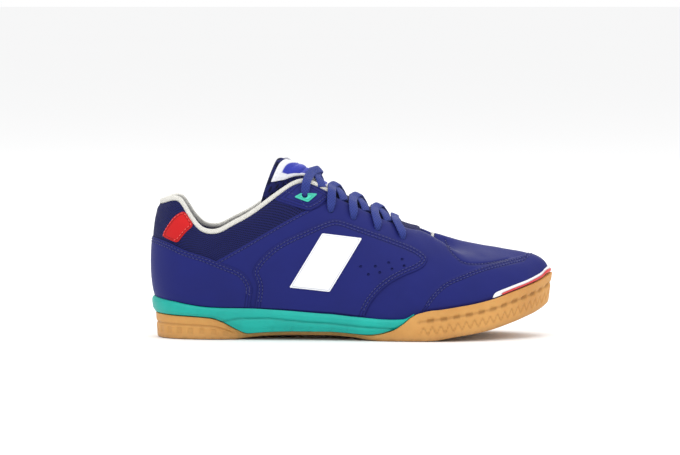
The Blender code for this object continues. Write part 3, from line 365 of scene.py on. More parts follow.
# Soft creases of the upper: a middle, a direction in degrees, half length, half width and depth in
# millimetres, negative for a ridge
CREASES = (
    # along, rise, direction, half_length, half_width, depth
    (0.715, 0.690, -62.0, 9.0, 2.0, 0.28),
    (0.748, 0.640, -58.0, 10.0, 2.0, 0.22),
    (0.690, 0.600, -48.0, 9.0, 2.6, -0.30),
    (0.763, 0.603, -20.0, 5.0, 1.8, 0.25),
    (0.818, 0.585, -10.0, 5.0, 1.8, 0.25),
    (0.743, 0.658, -35.0, 5.0, 1.8, 0.22),
    (0.200, 0.720, 32.0, 12.0, 2.8, 0.40),
    (0.165, 0.660, 28.0, 10.0, 2.6, 0.35),
    (0.620, 0.330, 55.0, 12.0, 3.0, 0.30),
)

# The midsole's side groove, as a share of the length and of the sole height
MIDSOLE_GROOVE = (
    # along, height
    (0.150, 0.300),
    (0.175, 0.420),
    (0.220, 0.510),
    (0.294, 0.517),
    (0.372, 0.443),
    (0.449, 0.400),
    (0.524, 0.333),
    (0.594, 0.293),
    (0.620, 0.280),
)
MIDSOLE_TICKS = (0.299, 0.347, 0.394, 0.444, 0.484)

# How far each strand of the lace stands off the edge and the tongue, for each eyelet
LACE_OVER = (
    # eyelet, edge, tongue
    (0.0044, 0.0050, 0.0030),
    (0.0024, 0.0042, 0.0010),
    (0.0024, 0.0028, 0.0010),
    (0.0024, 0.0028, 0.0010),
    (0.0024, 0.0028, 0.0010),
)

# The way of a crossing over the tongue
LACE_WAY = (
    # tongue column, share of the way to the next eyelet, lift where one passes over another
    (1.8, 0.24, 0.3),
    (3.0, 0.50, 1.0),
    (4.0, 0.76, 0.5),
    (4.9, 1.0, 0.0),
    (5.7, 1.2, -0.6),
)

BODY = "root"
MIDSOLE_FRONT = 0.652
MIDSOLE_LINING = 0.0012
SEAM_WIDTH = 0.0006
MESH_PITCH = 0.0026
TRACE_MISS = 0.0006
TRACE_FOOT = 0.05
SEWN_ABOVE = 0.032
CARVED_NEAR = 0.0002
PERFORATION_DEPTH = 0.008
EYELET_BORE = 0.0022
EYELET_BORE_DEPTH = 0.012
ROLLED_EDGE = 0.0009
STITCH_SINK = 0.00022
STITCH_SINK_WIDTH = 0.0007
NARROW_STEP = 0.0035
WIDE_STEP = 0.0065
TWO_ROWS = (0.0016, 0.0036)
ONE_ROW = (0.0016,)
OUTER_SPAN = (-1.0, 0.0)
INNER_SPAN = (0.0, 1.0)
BOTH_SPAN = (-1.0, 1.0)


class Side(Enum):
    """The two sides of the shoe."""

    OUTER = "lateral"
    INNER = "medial"

    @property
    def sign(self) -> float:
        """The side's sign along Y."""
        return -1.0 if self is Side.OUTER else 1.0


def turn_of(along: float, side: Side = Side.OUTER) -> float:
    """Give the turn at which the feather line has gone a share of the length.

    Args:
        along: The share, 0 at the heel and 1 at the toe.
        side: The side of the shoe.

    Returns:
        The turn in radians.
    """
    angle = math.acos(max(-1.0, min(1.0, 2.0 * along - 1.0)))
    return angle if side is Side.OUTER else 2.0 * math.pi - angle


def hermite(x: Array, y: Array, slope: Array, span: Array, turns: Array) -> Array:
    """Read the cubic pieces between the knots of a closed curve.

    Args:
        x: The knots' turns, in order.
        y: The knots' values.
        slope: The knots' slopes.
        span: The turn from each knot to the next.
        turns: Where to read.

    Returns:
        The values at the turns.
    """
    turns = np.mod(np.asarray(turns, float) - x[0], 2 * math.pi) + x[0]
    low = np.clip(np.searchsorted(x, turns, side="right") - 1, 0, len(x) - 1)
    high = (low + 1) % len(x)
    t = (turns - x[low]) / span[low]
    return (
        y[low] * (1 + 2 * t) * (1 - t) ** 2
        + slope[low] * span[low] * t * (1 - t) ** 2
        + y[high] * t * t * (3 - 2 * t)
        + slope[high] * span[low] * t * t * (t - 1)
    )


def fair(knots: Sequence[float], values: Sequence[float], turns: Array) -> Array:
    """Read a smooth closed curve through the values.

    Args:
        knots: The turns of the values.
        values: The values.
        turns: Where to read.

    Returns:
        The values at the turns.
    """
    order = np.argsort(knots)
    x = np.asarray(knots, float)[order]
    y = np.asarray(values, float)[order]
    count = len(x)
    span = np.diff(np.append(x, x[0] + 2 * math.pi))
    rise = np.diff(np.append(y, y[0])) / span
    system = np.zeros((count, count))
    right = np.zeros(count)
    for i in range(count):
        before = span[i - 1]
        after = span[i]
        system[i, i - 1] = after
        system[i, i] = 2 * (before + after)
        system[i, (i + 1) % count] = before
        right[i] = 3 * (after * rise[i - 1] + before * rise[i])
    return hermite(x, y, np.linalg.solve(system, right), span, turns)


def steady(knots: Sequence[float], values: Sequence[float], turns: Array) -> Array:
    """Read a closed curve that never overshoots its values.

    Args:
        knots: The turns of the values.
        values: The values.
        turns: Where to read.

    Returns:
        The values at the turns.
    """
    order = np.argsort(knots)
    x = np.asarray(knots, float)[order]
    y = np.asarray(values, float)[order]
    span = np.diff(np.append(x, x[0] + 2 * math.pi))
    rise = np.diff(np.append(y, y[0])) / span
    before = np.roll(rise, 1)
    weight_a = 2 * span + np.roll(span, 1)
    weight_b = span + 2 * np.roll(span, 1)
    same = before * rise > 0
    safe_before = np.where(same, before, 1.0)
    safe_rise = np.where(same, rise, 1.0)
    mean = (weight_a + weight_b) / (weight_a / safe_before + weight_b / safe_rise)
    return hermite(x, y, np.where(same, mean, 0.0), span, turns)


def curve_through(knots: Array, shares: Array) -> Array:
    """Read a soft open curve through the knots.

    Args:
        knots: The points, one a row.
        shares: Where to read, counted in knots from 0.

    Returns:
        One point a share.
    """
    knots = np.asarray(knots, float)
    held = np.concatenate([2 * knots[:1] - knots[1:2], knots, 2 * knots[-1:] - knots[-2:-1]])
    shares = np.clip(np.asarray(shares, float), 0.0, len(knots) - 1.0)
    low = np.minimum(shares.astype(int), len(knots) - 2)
    t = (shares - low)[:, None]
    a, b, c, d = held[low], held[low + 1], held[low + 2], held[low + 3]
    return 0.5 * (
        2 * b
        + (c - a) * t
        + (2 * a - 5 * b + 4 * c - d) * t ** 2
        + (3 * b - a - 3 * c + d) * t ** 3
    )


def unit(vectors: Array) -> Array:
    """Scale vectors to length 1."""
    return vectors / np.maximum(np.linalg.norm(vectors, axis=-1, keepdims=True), 1e-12)


def soft_step(values: Array, start: float, end: float) -> Array:
    """Step softly from 0 at start to 1 at end."""
    share = np.clip((values - start) / (end - start), 0.0, 1.0)
    return share * share * (3 - 2 * share)


def hump(values: Array, width: float) -> Array:
    """Give a bell of height 1 round zero."""
    return np.exp(-((values / width) ** 2))


@dataclass(frozen=True)
class Last:
    """The form of the foot and the sole that every piece follows, in the part's own sizes."""

    length: float = 0.290
    ball_width: float = 0.100
    collar_height: float = 0.100
    sole_height: float = 0.030
    toe_spring: float = 0.030
    wall: float = 0.0022
    collar_pad: float = 0.0030
    gap: float = 0.0004
    tongue_gap: float = 0.0005
    seat_gap: float = 0.0008
    lip: float = 0.0030
    bed_tuck: float = 0.0016
    spine_back: float = 0.12
    spine_front: float = 0.84

    def both_sides(self, table: Sequence[Sequence[float]], column: int, turns: Array) -> Array:
        """Read one column of a table that holds for both sides.

        Args:
            table: Rows that start with a share of the length.
            column: The column to read.
            turns: Where to read.

        Returns:
            The values at the turns.
        """
        knots = []
        values = []
        for row in table:
            for side in Side:
                if side is Side.OUTER or 0.0 < row[0] < 1.0:
                    knots.append(turn_of(row[0], side))
                    values.append(row[column])
        return steady(knots, values, turns)

    def outline(self, turns: Array) -> tuple[Array, Array]:
        """Give the sole's widest line as x and y."""
        knots = []
        values = []
        for along, outer, inner in OUTLINE:
            knots.append(turn_of(along))
            values.append(-outer * self.ball_width)
            if 0.0 < along < 1.0:
                knots.append(turn_of(along, Side.INNER))
                values.append(inner * self.ball_width)
        return self.length * np.cos(turns) / 2, fair(knots, values, turns)

    def ring(self, turns: Array, inset: Array | float, height: Array | float) -> Array:
        """Give a ring inside the sole's widest line.

        Args:
            turns: The stations.
            inset: How far the ring lies inside the widest line.
            height: Its height.

        Returns:
            One point a station.
        """
        x, y = self.outline(turns)
        back = (self.spine_back - 0.5) * self.length
        front = (self.spine_front - 0.5) * self.length
        aim_x = np.clip(x, back, front) - x
        far = np.hypot(aim_x, -y)
        return np.stack([x + aim_x / far * inset, y - y / far * inset, height + 0 * x], axis=-1)

    def edge(self, name: str, turns: Array) -> Array:
        """Give one of the sole's edge heights or insets in metres."""
        columns = {"lift": 1, "gum": 2, "lip": 3, "bed": 4, "gum_in": 5, "base_in": 6}
        shares = self.both_sides(SOLE_EDGE, columns[name], turns)
        if name == "lift":
            return shares * self.toe_spring
        if name in ("gum_in", "base_in"):
            return shares * self.lip
        return self.edge("lift", turns) + shares * self.sole_height

    def upper_column(self, column: int, turns: Array) -> Array:
        """Read one column of the upper's two tables."""
        knots = []
        values = []
        for row in UPPER_OUTER:
            knots.append(turn_of(row[0]))
            values.append(-row[column] if column in (2, 7) else row[column])
        for row in UPPER_INNER:
            knots.append(turn_of(row[0], Side.INNER))
            values.append(row[column])
        return fair(knots, values, turns)

    def skin(self, turns: Array, level: Array) -> Array:
        """Give points on the upper's outer face.

        Args:
            turns: The stations.
            level: 0 at the sole's lip, 1 at the opening's edge.

        Returns:
            One point a station.
        """
        low = self.ring(turns, self.lip + self.gap, self.edge("lip", turns))
        outward = unit(self.ring(turns, 0.0, 0.0) - self.ring(turns, self.lip, 0.0))
        column = [self.upper_column(k, turns) for k in range(1, 9)]
        high = self.collar_height
        along = (column[0] - 0.5) * self.length
        top = np.stack([along, column[1] * self.ball_width, column[2] * high], axis=-1)
        up = np.array([0.0, 0.0, high])
        low_handle = low + outward * (column[3] * high)[..., None] + up * column[4][..., None]
        high_handle = top + np.stack([column[5], column[6], -column[7]], axis=-1) * high
        t = np.asarray(level, float)[..., None]
        return (
            low * (1 - t) ** 3
            + low_handle * 3 * t * (1 - t) ** 2
            + high_handle * 3 * t * t * (1 - t)
            + top * t ** 3
        )

    def normal(self, turns: Array, level: Array) -> Array:
        """Give the direction out of the upper's outer face."""
        step = 0.004
        level = np.asarray(level, float) + 0 * np.asarray(turns)
        round_it = self.skin(turns + step, level) - self.skin(turns - step, level)
        above = self.skin(turns, np.minimum(level + step, 1.0))
        up_it = above - self.skin(turns, np.maximum(level - step, 0.0))
        return -unit(np.cross(round_it, up_it))

    def offset(self, turns: Array, level: Array, distance: Array | float) -> Array:
        """Give points off the upper's outer face, outwards for a positive distance."""
        distance = np.asarray(distance, float) + 0 * np.asarray(turns)
        return self.skin(turns, level) + self.normal(turns, level) * distance[..., None]

    def wall_at(self, turns: Array, level: Array) -> Array:
        """Give the upper's wall, padded round the collar."""
        along = (1 + np.cos(turns)) / 2
        collar = soft_step(0.40 - along, 0.0, 0.12)
        high = np.clip((level - 0.45) / 0.25, 0.0, 1.0)
        rounded = np.clip((1.0 - level) / 0.12, 0.35, 1.0)
        return self.wall + self.collar_pad * collar * high * rounded

    def find(self, along: Array, rise: Array, side: Side) -> tuple[Array, Array]:
        """Find where points of the side view lie on the upper.

        Args:
            along: Shares of the length.
            rise: Shares of the collar height.
            side: The side of the shoe.

        Returns:
            The turn and level of each point.
        """
        forward = (np.asarray(along) - 0.5) * self.length
        want = np.stack([forward, np.asarray(rise) * self.collar_height], axis=-1)
        shares = np.linspace(0.0, math.pi, 181)
        if side is Side.INNER:
            shares = 2 * math.pi - shares
        turns, level = np.meshgrid(shares, np.linspace(0.0, 1.0, 61), indexing="ij")
        turns = turns.ravel()
        level = level.ravel()
        known = self.skin(turns, level)[:, (0, 2)]
        nearest = np.array([np.argmin(((known - spot) ** 2).sum(axis=1)) for spot in want])
        turn = turns[nearest]
        at = level[nearest]
        step = 0.002
        for _ in range(5):
            here = self.skin(turn, at)[:, (0, 2)]
            by_turn = (self.skin(turn + step, at)[:, (0, 2)] - here) / step
            by_level = (self.skin(turn, at + step)[:, (0, 2)] - here) / step
            miss = want - here
            size = by_turn[:, 0] * by_level[:, 1] - by_turn[:, 1] * by_level[:, 0]
            size = np.where(np.abs(size) < 1e-7, 1e-7, size)
            move_turn = (miss[:, 0] * by_level[:, 1] - miss[:, 1] * by_level[:, 0]) / size
            move_level = (by_turn[:, 0] * miss[:, 1] - by_turn[:, 1] * miss[:, 0]) / size
            turn = turn + np.clip(move_turn, -0.05, 0.05)
            at = np.clip(at + np.clip(move_level, -0.05, 0.05), 0.0, 1.0)
        return turn, at

    def tongue_column(self, column: int, turn: float) -> float:
        """Read one column of the tongue's table."""
        knots = np.array([turn_of(row[0]) for row in TONGUE_SECTIONS])
        values = np.array([row[column] for row in TONGUE_SECTIONS])
        order = np.argsort(knots)
        return float(np.interp(turn, knots[order], values[order]))

    def tongue_row(self, turn: float, shares: Array) -> Array:
        """Give points across the tongue's face.

        Args:
            turn: The station on the outer side.
            shares: 0 under the outer edge, 3 on the crown, 6 under the inner edge.

        Returns:
            One point a share.
        """
        spots = np.array([turn, 2 * math.pi - turn])
        full = np.ones(2)
        outer, inner = self.offset(spots, full, -(self.wall_at(spots, full) + self.tongue_gap))
        move = [self.tongue_column(column, turn) * self.collar_height for column in range(1, 9)]
        low = np.array(move[0:3])
        high = np.array(move[3:6])
        crown = (outer + inner) / 2 + np.array([move[6], 0.0, move[7]])
        mirror = np.array([1.0, -1.0, 1.0])
        knots = [outer, outer + low, outer + high, crown, inner + high * mirror, inner + low * mirror, inner]
        return curve_through(np.array(knots), shares)

    def tongue_normal(self, turn: float, shares: Array) -> Array:
        """Give the direction out of the tongue's face."""
        step = 0.02
        lengthwise = self.tongue_row(turn - step, shares) - self.tongue_row(turn + step, shares)
        sideways = self.tongue_row(turn, shares + step) - self.tongue_row(turn, shares - step)
        return unit(np.cross(lengthwise, sideways))


LAST = Last()


def trace_distance(spots: Array, line: Array) -> Array:
    """Measure how far flat points lie from a line, positive on its left.

    Args:
        spots: Points in the side view, one a row.
        line: The line's points in order.

    Returns:
        One distance a point.
    """
    best = np.full(len(spots), np.inf)
    sign = np.ones(len(spots))
    for start, end in zip(line[:-1], line[1:]):
        run = end - start
        share = np.clip(((spots - start) @ run) / max(float(run @ run), 1e-12), 0.0, 1.0)
        away = spots - start - share[:, None] * run
        far = np.hypot(away[:, 0], away[:, 1])
        left = np.sign(run[0] * (spots[:, 1] - start[1]) - run[1] * (spots[:, 0] - start[0]))
        nearer = far < best
        best = np.where(nearer, far, best)
        sign = np.where(nearer, left, sign)
    return best * np.where(sign < 0, -1.0, 1.0)


def side_line(table: Sequence[Sequence[float]], steps: int = 8) -> Array:
    """Give a smooth line of the side view in metres from its table of shares."""
    last = len(table) - 1
    dense = curve_through(np.array(table)[:, :2], np.linspace(0.0, last, steps * last + 1))
    return to_side_view(dense)


def to_side_view(shares: Array) -> Array:
    """Turn shares of the length and the collar height into metres in the side view."""
    return np.stack([(shares[:, 0] - 0.5) * LAST.length, shares[:, 1] * LAST.collar_height], axis=-1)


def rounded_outline(table: Sequence[Sequence[float]], radius: float, steps: int = 6) -> Array:
    """Round the corners of a closed side view outline.

    Args:
        table: The corners, as shares of the length and the collar height.
        radius: How far a rounding may reach along a side, in metres.
        steps: The points on each rounding.

    Returns:
        The outline's points in metres, in order.
    """
    corners = to_side_view(np.array(table))
    made = []
    for before, here, after in zip(np.roll(corners, 1, axis=0), corners, np.roll(corners, -1, axis=0)):
        reach = [min(0.5, radius / np.linalg.norm(other - here)) for other in (before, after)]
        start = here + (before - here) * reach[0]
        end = here + (after - here) * reach[1]
        for t in np.linspace(0.0, 1.0, steps):
            made.append(start * (1 - t) ** 2 + here * 2 * t * (1 - t) + end * t * t)
    made = np.array(made)
    fresh = np.linalg.norm(made - np.roll(made, 1, axis=0), axis=1) > 1e-6
    return made[fresh]


def clear_selection() -> None:
    """Leave every object unselected."""
    bpy.ops.object.select_all(action="DESELECT")


def choose(piece: bpy.types.Object) -> None:
    """Make a piece the only selected and the active one."""
    clear_selection()
    piece.select_set(True)
    bpy.context.view_layer.objects.active = piece


def laid_grid(name: str, points: Array, uv: Array | None = None) -> bpy.types.Object:
    """Add a grid and shape it by laying its vertices on points.

    Args:
        name: The object's name.
        points: Rows of columns of points.
        uv: The texture places of the points, in metres.

    Returns:
        The shaped grid, not yet welded.
    """
    rows, columns = points.shape[:2]
    clear_selection()
    bpy.ops.mesh.primitive_grid_add(x_subdivisions=columns - 1, y_subdivisions=rows - 1, size=1.0)
    made = bpy.context.object
    made.name = name
    made.data.name = name
    made.data.vertices.foreach_set("co", points.astype(np.float32).ravel())
    if uv is not None:
        corners = np.zeros(len(made.data.loops), np.int32)
        made.data.loops.foreach_get("vertex_index", corners)
        lengths = uv.reshape(-1, 2)[corners].astype(np.float32)
        made.data.uv_layers.active.data.foreach_set("uv", lengths.ravel())
    made.data.update()
    return made


def volume(piece: bpy.types.Object) -> float:
    """Measure a closed piece's volume, below zero where its faces point inwards."""
    piece.data.calc_loop_triangles()
    corners = np.zeros(len(piece.data.loop_triangles) * 3, np.int32)
    piece.data.loop_triangles.foreach_get("vertices", corners)
    a, b, c = points_of(piece)[corners.reshape(-1, 3)].transpose(1, 0, 2)
    return float(np.einsum("ij,ij->", a, np.cross(b, c)) / 6)


def weld(piece: bpy.types.Object, gap: float = 1e-6) -> None:
    """Merge doubles and turn the faces outwards.

    Args:
        piece: The piece to weld.
        gap: How near doubles lie.
    """
    choose(piece)
    bpy.ops.object.mode_set(mode="EDIT")
    bpy.ops.mesh.select_mode(type="VERT")
    bpy.ops.mesh.select_all(action="SELECT")
    bpy.ops.mesh.remove_doubles(threshold=gap)
    bpy.ops.mesh.normals_make_consistent(inside=False)
    bpy.ops.object.mode_set(mode="OBJECT")
    if volume(piece) < 0:
        bpy.ops.object.mode_set(mode="EDIT")
        bpy.ops.mesh.select_all(action="SELECT")
        bpy.ops.mesh.flip_normals()
        bpy.ops.object.mode_set(mode="OBJECT")


def join(pieces: Sequence[bpy.types.Object]) -> bpy.types.Object:
    """Join pieces into the first one."""
    choose(pieces[0])
    for piece in pieces[1:]:
        piece.select_set(True)
    if len(pieces) > 1:
        bpy.ops.object.join()
    return pieces[0]


def smooth(piece: bpy.types.Object, angle: float = 40.0) -> None:
    """Shade a piece smooth, with sharp edges past an angle in degrees."""
    choose(piece)
    bpy.ops.object.shade_smooth_by_angle(angle=math.radians(angle))


def cut(piece: bpy.types.Object, tool: bpy.types.Object, operation: str) -> None:
    """Apply a Boolean with a tool and delete the tool."""
    choose(piece)
    step = piece.modifiers.new("cut", "BOOLEAN")
    step.operation = operation
    step.solver = "EXACT"
    step.object = tool
    bpy.ops.object.modifier_apply(modifier=step.name)
    bpy.data.objects.remove(tool)


def points_of(piece: bpy.types.Object) -> Array:
    """Read a piece's vertices."""
    made = np.zeros(len(piece.data.vertices) * 3, np.float32)
    piece.data.vertices.foreach_get("co", made)
    return made.reshape(-1, 3).astype(float)


def move_points(piece: bpy.types.Object, points: Array) -> None:
    """Put a piece's vertices on new points."""
    piece.data.vertices.foreach_set("co", points.astype(np.float32).ravel())
    piece.data.update()


def mark(piece: bpy.types.Object, name: str, values: Array) -> None:
    """Store one number a vertex for the materials."""
    layer = piece.data.attributes.get(name) or piece.data.attributes.new(name, "FLOAT", "POINT")
    layer.data.foreach_set("value", values.astype(np.float32).ravel())


def slab(name: str, top: Array, under: Array, uv: Array | None = None) -> bpy.types.Object:
    """Make a closed sheet from its two faces, each rows of columns of points."""
    loop = np.concatenate([top, under[:, ::-1], top[:, :1]], axis=1)
    middle = (top + under) / 2
    closing = np.concatenate([middle, middle[:, ::-1], middle[:, :1]], axis=1)
    rows = np.concatenate([closing[:1], loop, closing[-1:]])
    places = None
    if uv is not None:
        flat = np.concatenate([uv, uv[:, ::-1], uv[:, :1]], axis=1)
        places = np.concatenate([flat[:1], flat, flat[-1:]])
    made = laid_grid(name, rows, places)
    weld(made)
    return made


def prism(outline: Array, low: float, high: float) -> bpy.types.Object:
    """Make a tool from a side view outline, drawn out sideways from one Y to another."""
    clear_selection()
    bpy.ops.mesh.primitive_circle_add(vertices=len(outline), radius=1.0, fill_type="NGON")
    tool = bpy.context.object
    flat = np.stack([outline[:, 0], np.full(len(outline), low), outline[:, 1]], axis=-1)
    move_points(tool, flat)
    choose(tool)
    bpy.ops.object.mode_set(mode="EDIT")
    bpy.ops.mesh.select_all(action="SELECT")
    bpy.ops.mesh.extrude_region_move(TRANSFORM_OT_translate={"value": (0.0, high - low, 0.0)})
    bpy.ops.mesh.select_all(action="SELECT")
    bpy.ops.mesh.normals_make_consistent(inside=False)
    bpy.ops.object.mode_set(mode="OBJECT")
    return tool


def drills(spots: Array, normals: Array, radius: float, depth: float, sides: int) -> bpy.types.Object:
    """Make one tool of cylinders that stand on spots."""
    made = []
    for spot, normal in zip(spots, normals):
        clear_selection()
        bpy.ops.mesh.primitive_cylinder_add(
            vertices=sides,
            radius=radius,
            depth=depth,
            location=tuple(map(float, spot)),
            rotation=Vector(tuple(map(float, normal))).to_track_quat("Z", "Y").to_euler(),
        )
        made.append(bpy.context.object)
    return join(made)


def scattered(name: str, shape: bpy.types.Object, frames: Array, spots: Array) -> bpy.types.Object:
    """Copy a small shape onto spots as one mesh.

    Args:
        name: The object's name.
        shape: The shape, which is deleted.
        frames: One 3 by 3 matrix a spot, whose columns are the shape's axes.
        spots: Where each copy stands.

    Returns:
        The joined copies.
    """
    base = points_of(shape)
    faces = [tuple(face.vertices) for face in shape.data.polygons]
    count = len(base)
    points = (np.einsum("nij,kj->nki", frames, base) + spots[:, None]).reshape(-1, 3)
    copies = [tuple(index + count * k for index in face) for k in range(len(spots)) for face in faces]
    mesh = bpy.data.meshes.new(name)
    mesh.from_pydata(points.tolist(), [], copies)
    made = bpy.data.objects.new(name, mesh)
    bpy.context.scene.collection.objects.link(made)
    bpy.data.objects.remove(shape)
    return made


def settle(
    piece: bpy.types.Object, finishes: Sequence[bpy.types.Material], nodes: Sequence[str] = ()
) -> None:
    """Dress a finished piece and tie it to the frame.

    Args:
        piece: The piece.
        finishes: The piece's materials in order.
        nodes: The CAD nodes that it stands for.
    """
    piece.data.materials.clear()
    for finish in finishes:
        piece.data.materials.append(finish)
    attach(piece, BODY)
    if nodes:
        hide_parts(*nodes)
    LOG.info("%s: %d faces", piece.name, len(piece.data.polygons))


@dataclass(frozen=True)
class Track:
    """A line on the upper, as turns and levels."""

    turns: Array
    levels: Array

    @staticmethod
    def traced(line: Array, side: Side) -> "Track":
        """Follow a side view line in metres on one side, without what lies past the shoe's edge."""
        along = line[:, 0] / LAST.length + 0.5
        rise = line[:, 1] / LAST.collar_height
        turns, levels = LAST.find(along, rise, side)
        miss = np.linalg.norm(LAST.skin(turns, levels)[:, (0, 2)] - line, axis=1)
        held = (miss < TRACE_MISS) & (levels > TRACE_FOOT)
        return Track(turns[held], levels[held])

    def opened(self) -> "Track":
        """Start a closed line after its widest gap."""
        spots = LAST.skin(self.turns, self.levels)
        step = np.linalg.norm(np.roll(spots, -1, axis=0) - spots, axis=1)
        start = int(np.argmax(step)) + 1
        return Track(np.roll(self.turns, -start), np.roll(self.levels, -start))

    def spaced(self, pitch: float) -> "Track":
        """Walk the line in even steps."""
        spots = LAST.skin(self.turns, self.levels)
        far = np.append(0.0, np.cumsum(np.linalg.norm(np.diff(spots, axis=0), axis=1)))
        walk = np.arange(pitch / 2, far[-1], pitch)
        return Track(np.interp(walk, far, self.turns), np.interp(walk, far, self.levels))

    def on_past(self, other: "Track") -> "Track":
        """Go on along another line from where this one ends."""
        turns = other.turns
        if abs(turns[0] - self.turns[-1]) > math.pi:
            turns = turns - 2 * math.pi * np.sign(turns[0] - self.turns[-1])
        return Track(np.append(self.turns, turns), np.append(self.levels, other.levels))

    def reversed(self) -> "Track":
        """Walk the other way."""
        return Track(self.turns[::-1], self.levels[::-1])


def round_the_shoe(line: Array) -> Track:
    """Follow a side view line on the outer side, round the end of the shoe and back on the inner side."""
    return Track.traced(line, Side.OUTER).on_past(Track.traced(line, Side.INNER).reversed())


def inset_line(outline: Array, inset: float) -> Array:
    """Move a closed outline inwards, without the points that its corners crowd out."""
    run = unit(np.roll(outline, -1, axis=0) - np.roll(outline, 1, axis=0))
    inward = np.stack([-run[:, 1], run[:, 0]], axis=-1)
    area = np.sum(outline[:, 0] * np.roll(outline[:, 1], -1) - outline[:, 1] * np.roll(outline[:, 0], -1))
    moved = outline + inward * inset * math.copysign(1.0, area)
    closed = np.concatenate([outline, outline[:1]])
    clear = np.abs(trace_distance(moved, closed)) > inset * 0.97
    return moved[clear]


@dataclass(frozen=True)
class Stitching:
    """Rows of short stitches: pitch, length and thread in metres."""

    pitch: float = 0.0027
    length: float = 0.0020
    thread: float = 0.00038

    def sew(
        self, name: str, tracks: Sequence[Track], height: float | Callable[[Track], Array]
    ) -> bpy.types.Object:
        """Lay stitches along lines on the upper.

        Args:
            name: The object's name.
            tracks: The lines.
            height: How far off the upper's face the thread lies.

        Returns:
            The stitches as one mesh.
        """
        clear_selection()
        bpy.ops.mesh.primitive_uv_sphere_add(segments=6, ring_count=4, radius=0.5)
        shape = bpy.context.object
        spots = []
        frames = []
        for track in tracks:
            even = track.spaced(self.pitch)
            lift = height(even) if callable(height) else np.full(len(even.turns), height)
            here = LAST.offset(even.turns, even.levels, lift)
            out = LAST.normal(even.turns, even.levels)
            run = unit(np.gradient(here, axis=0))
            side = unit(np.cross(out, run))
            out = np.cross(run, side)
            spots.append(here)
            across = side * self.thread * 2
            frames.append(np.stack([run * self.length, across, out * self.thread * 2], axis=-1))
        made = scattered(name, shape, np.concatenate(frames), np.concatenate(spots))
        smooth(made, 180.0)
        return made


class Wire:
    """A node's output that takes part in expressions."""

    def __init__(self, net: "Network", socket: bpy.types.NodeSocket) -> None:
        """Hold the socket and the network that it belongs to."""
        self.net = net
        self.socket = socket

    def maths(self, operation: str, *values: "Wire | float") -> "Wire":
        """Add a Math node that starts from this value."""
        sockets = {number: value for number, value in enumerate((self, *values))}
        return self.net.node("ShaderNodeMath", {"operation": operation}, sockets)

    def __add__(self, other: "Wire | float") -> "Wire":
        """Add."""
        return self.maths("ADD", other)

    __radd__ = __add__

    def __mul__(self, other: "Wire | float") -> "Wire":
        """Multiply."""
        return self.maths("MULTIPLY", other)

    __rmul__ = __mul__

    def __sub__(self, other: "Wire | float") -> "Wire":
        """Subtract."""
        return self.maths("SUBTRACT", other)

    def __rsub__(self, other: float) -> "Wire":
        """Subtract from a number."""
        return self * -1.0 + other

    def __abs__(self) -> "Wire":
        """Drop the sign."""
        return self.maths("ABSOLUTE")

    def wave(self, pitch: float) -> "Wire":
        """Give a cosine of this length, with one swing a pitch."""
        return (self * (2 * math.pi / pitch)).maths("COSINE")

    def step(self, start: float, end: float) -> "Wire":
        """Step softly from 0 at start to 1 at end."""
        settings = {"interpolation_type": "SMOOTHSTEP"}
        return self.net.node("ShaderNodeMapRange", settings, {0: self, 1: start, 2: end})

    def near(self, place: float, width: float) -> "Wire":
        """Give 1 at a place and 0 past a width from it."""
        return abs(self - place).step(width, 0.0)

    def larger(self, other: "Wire | float") -> "Wire":
        """Keep the larger value."""
        return self.maths("MAXIMUM", other)


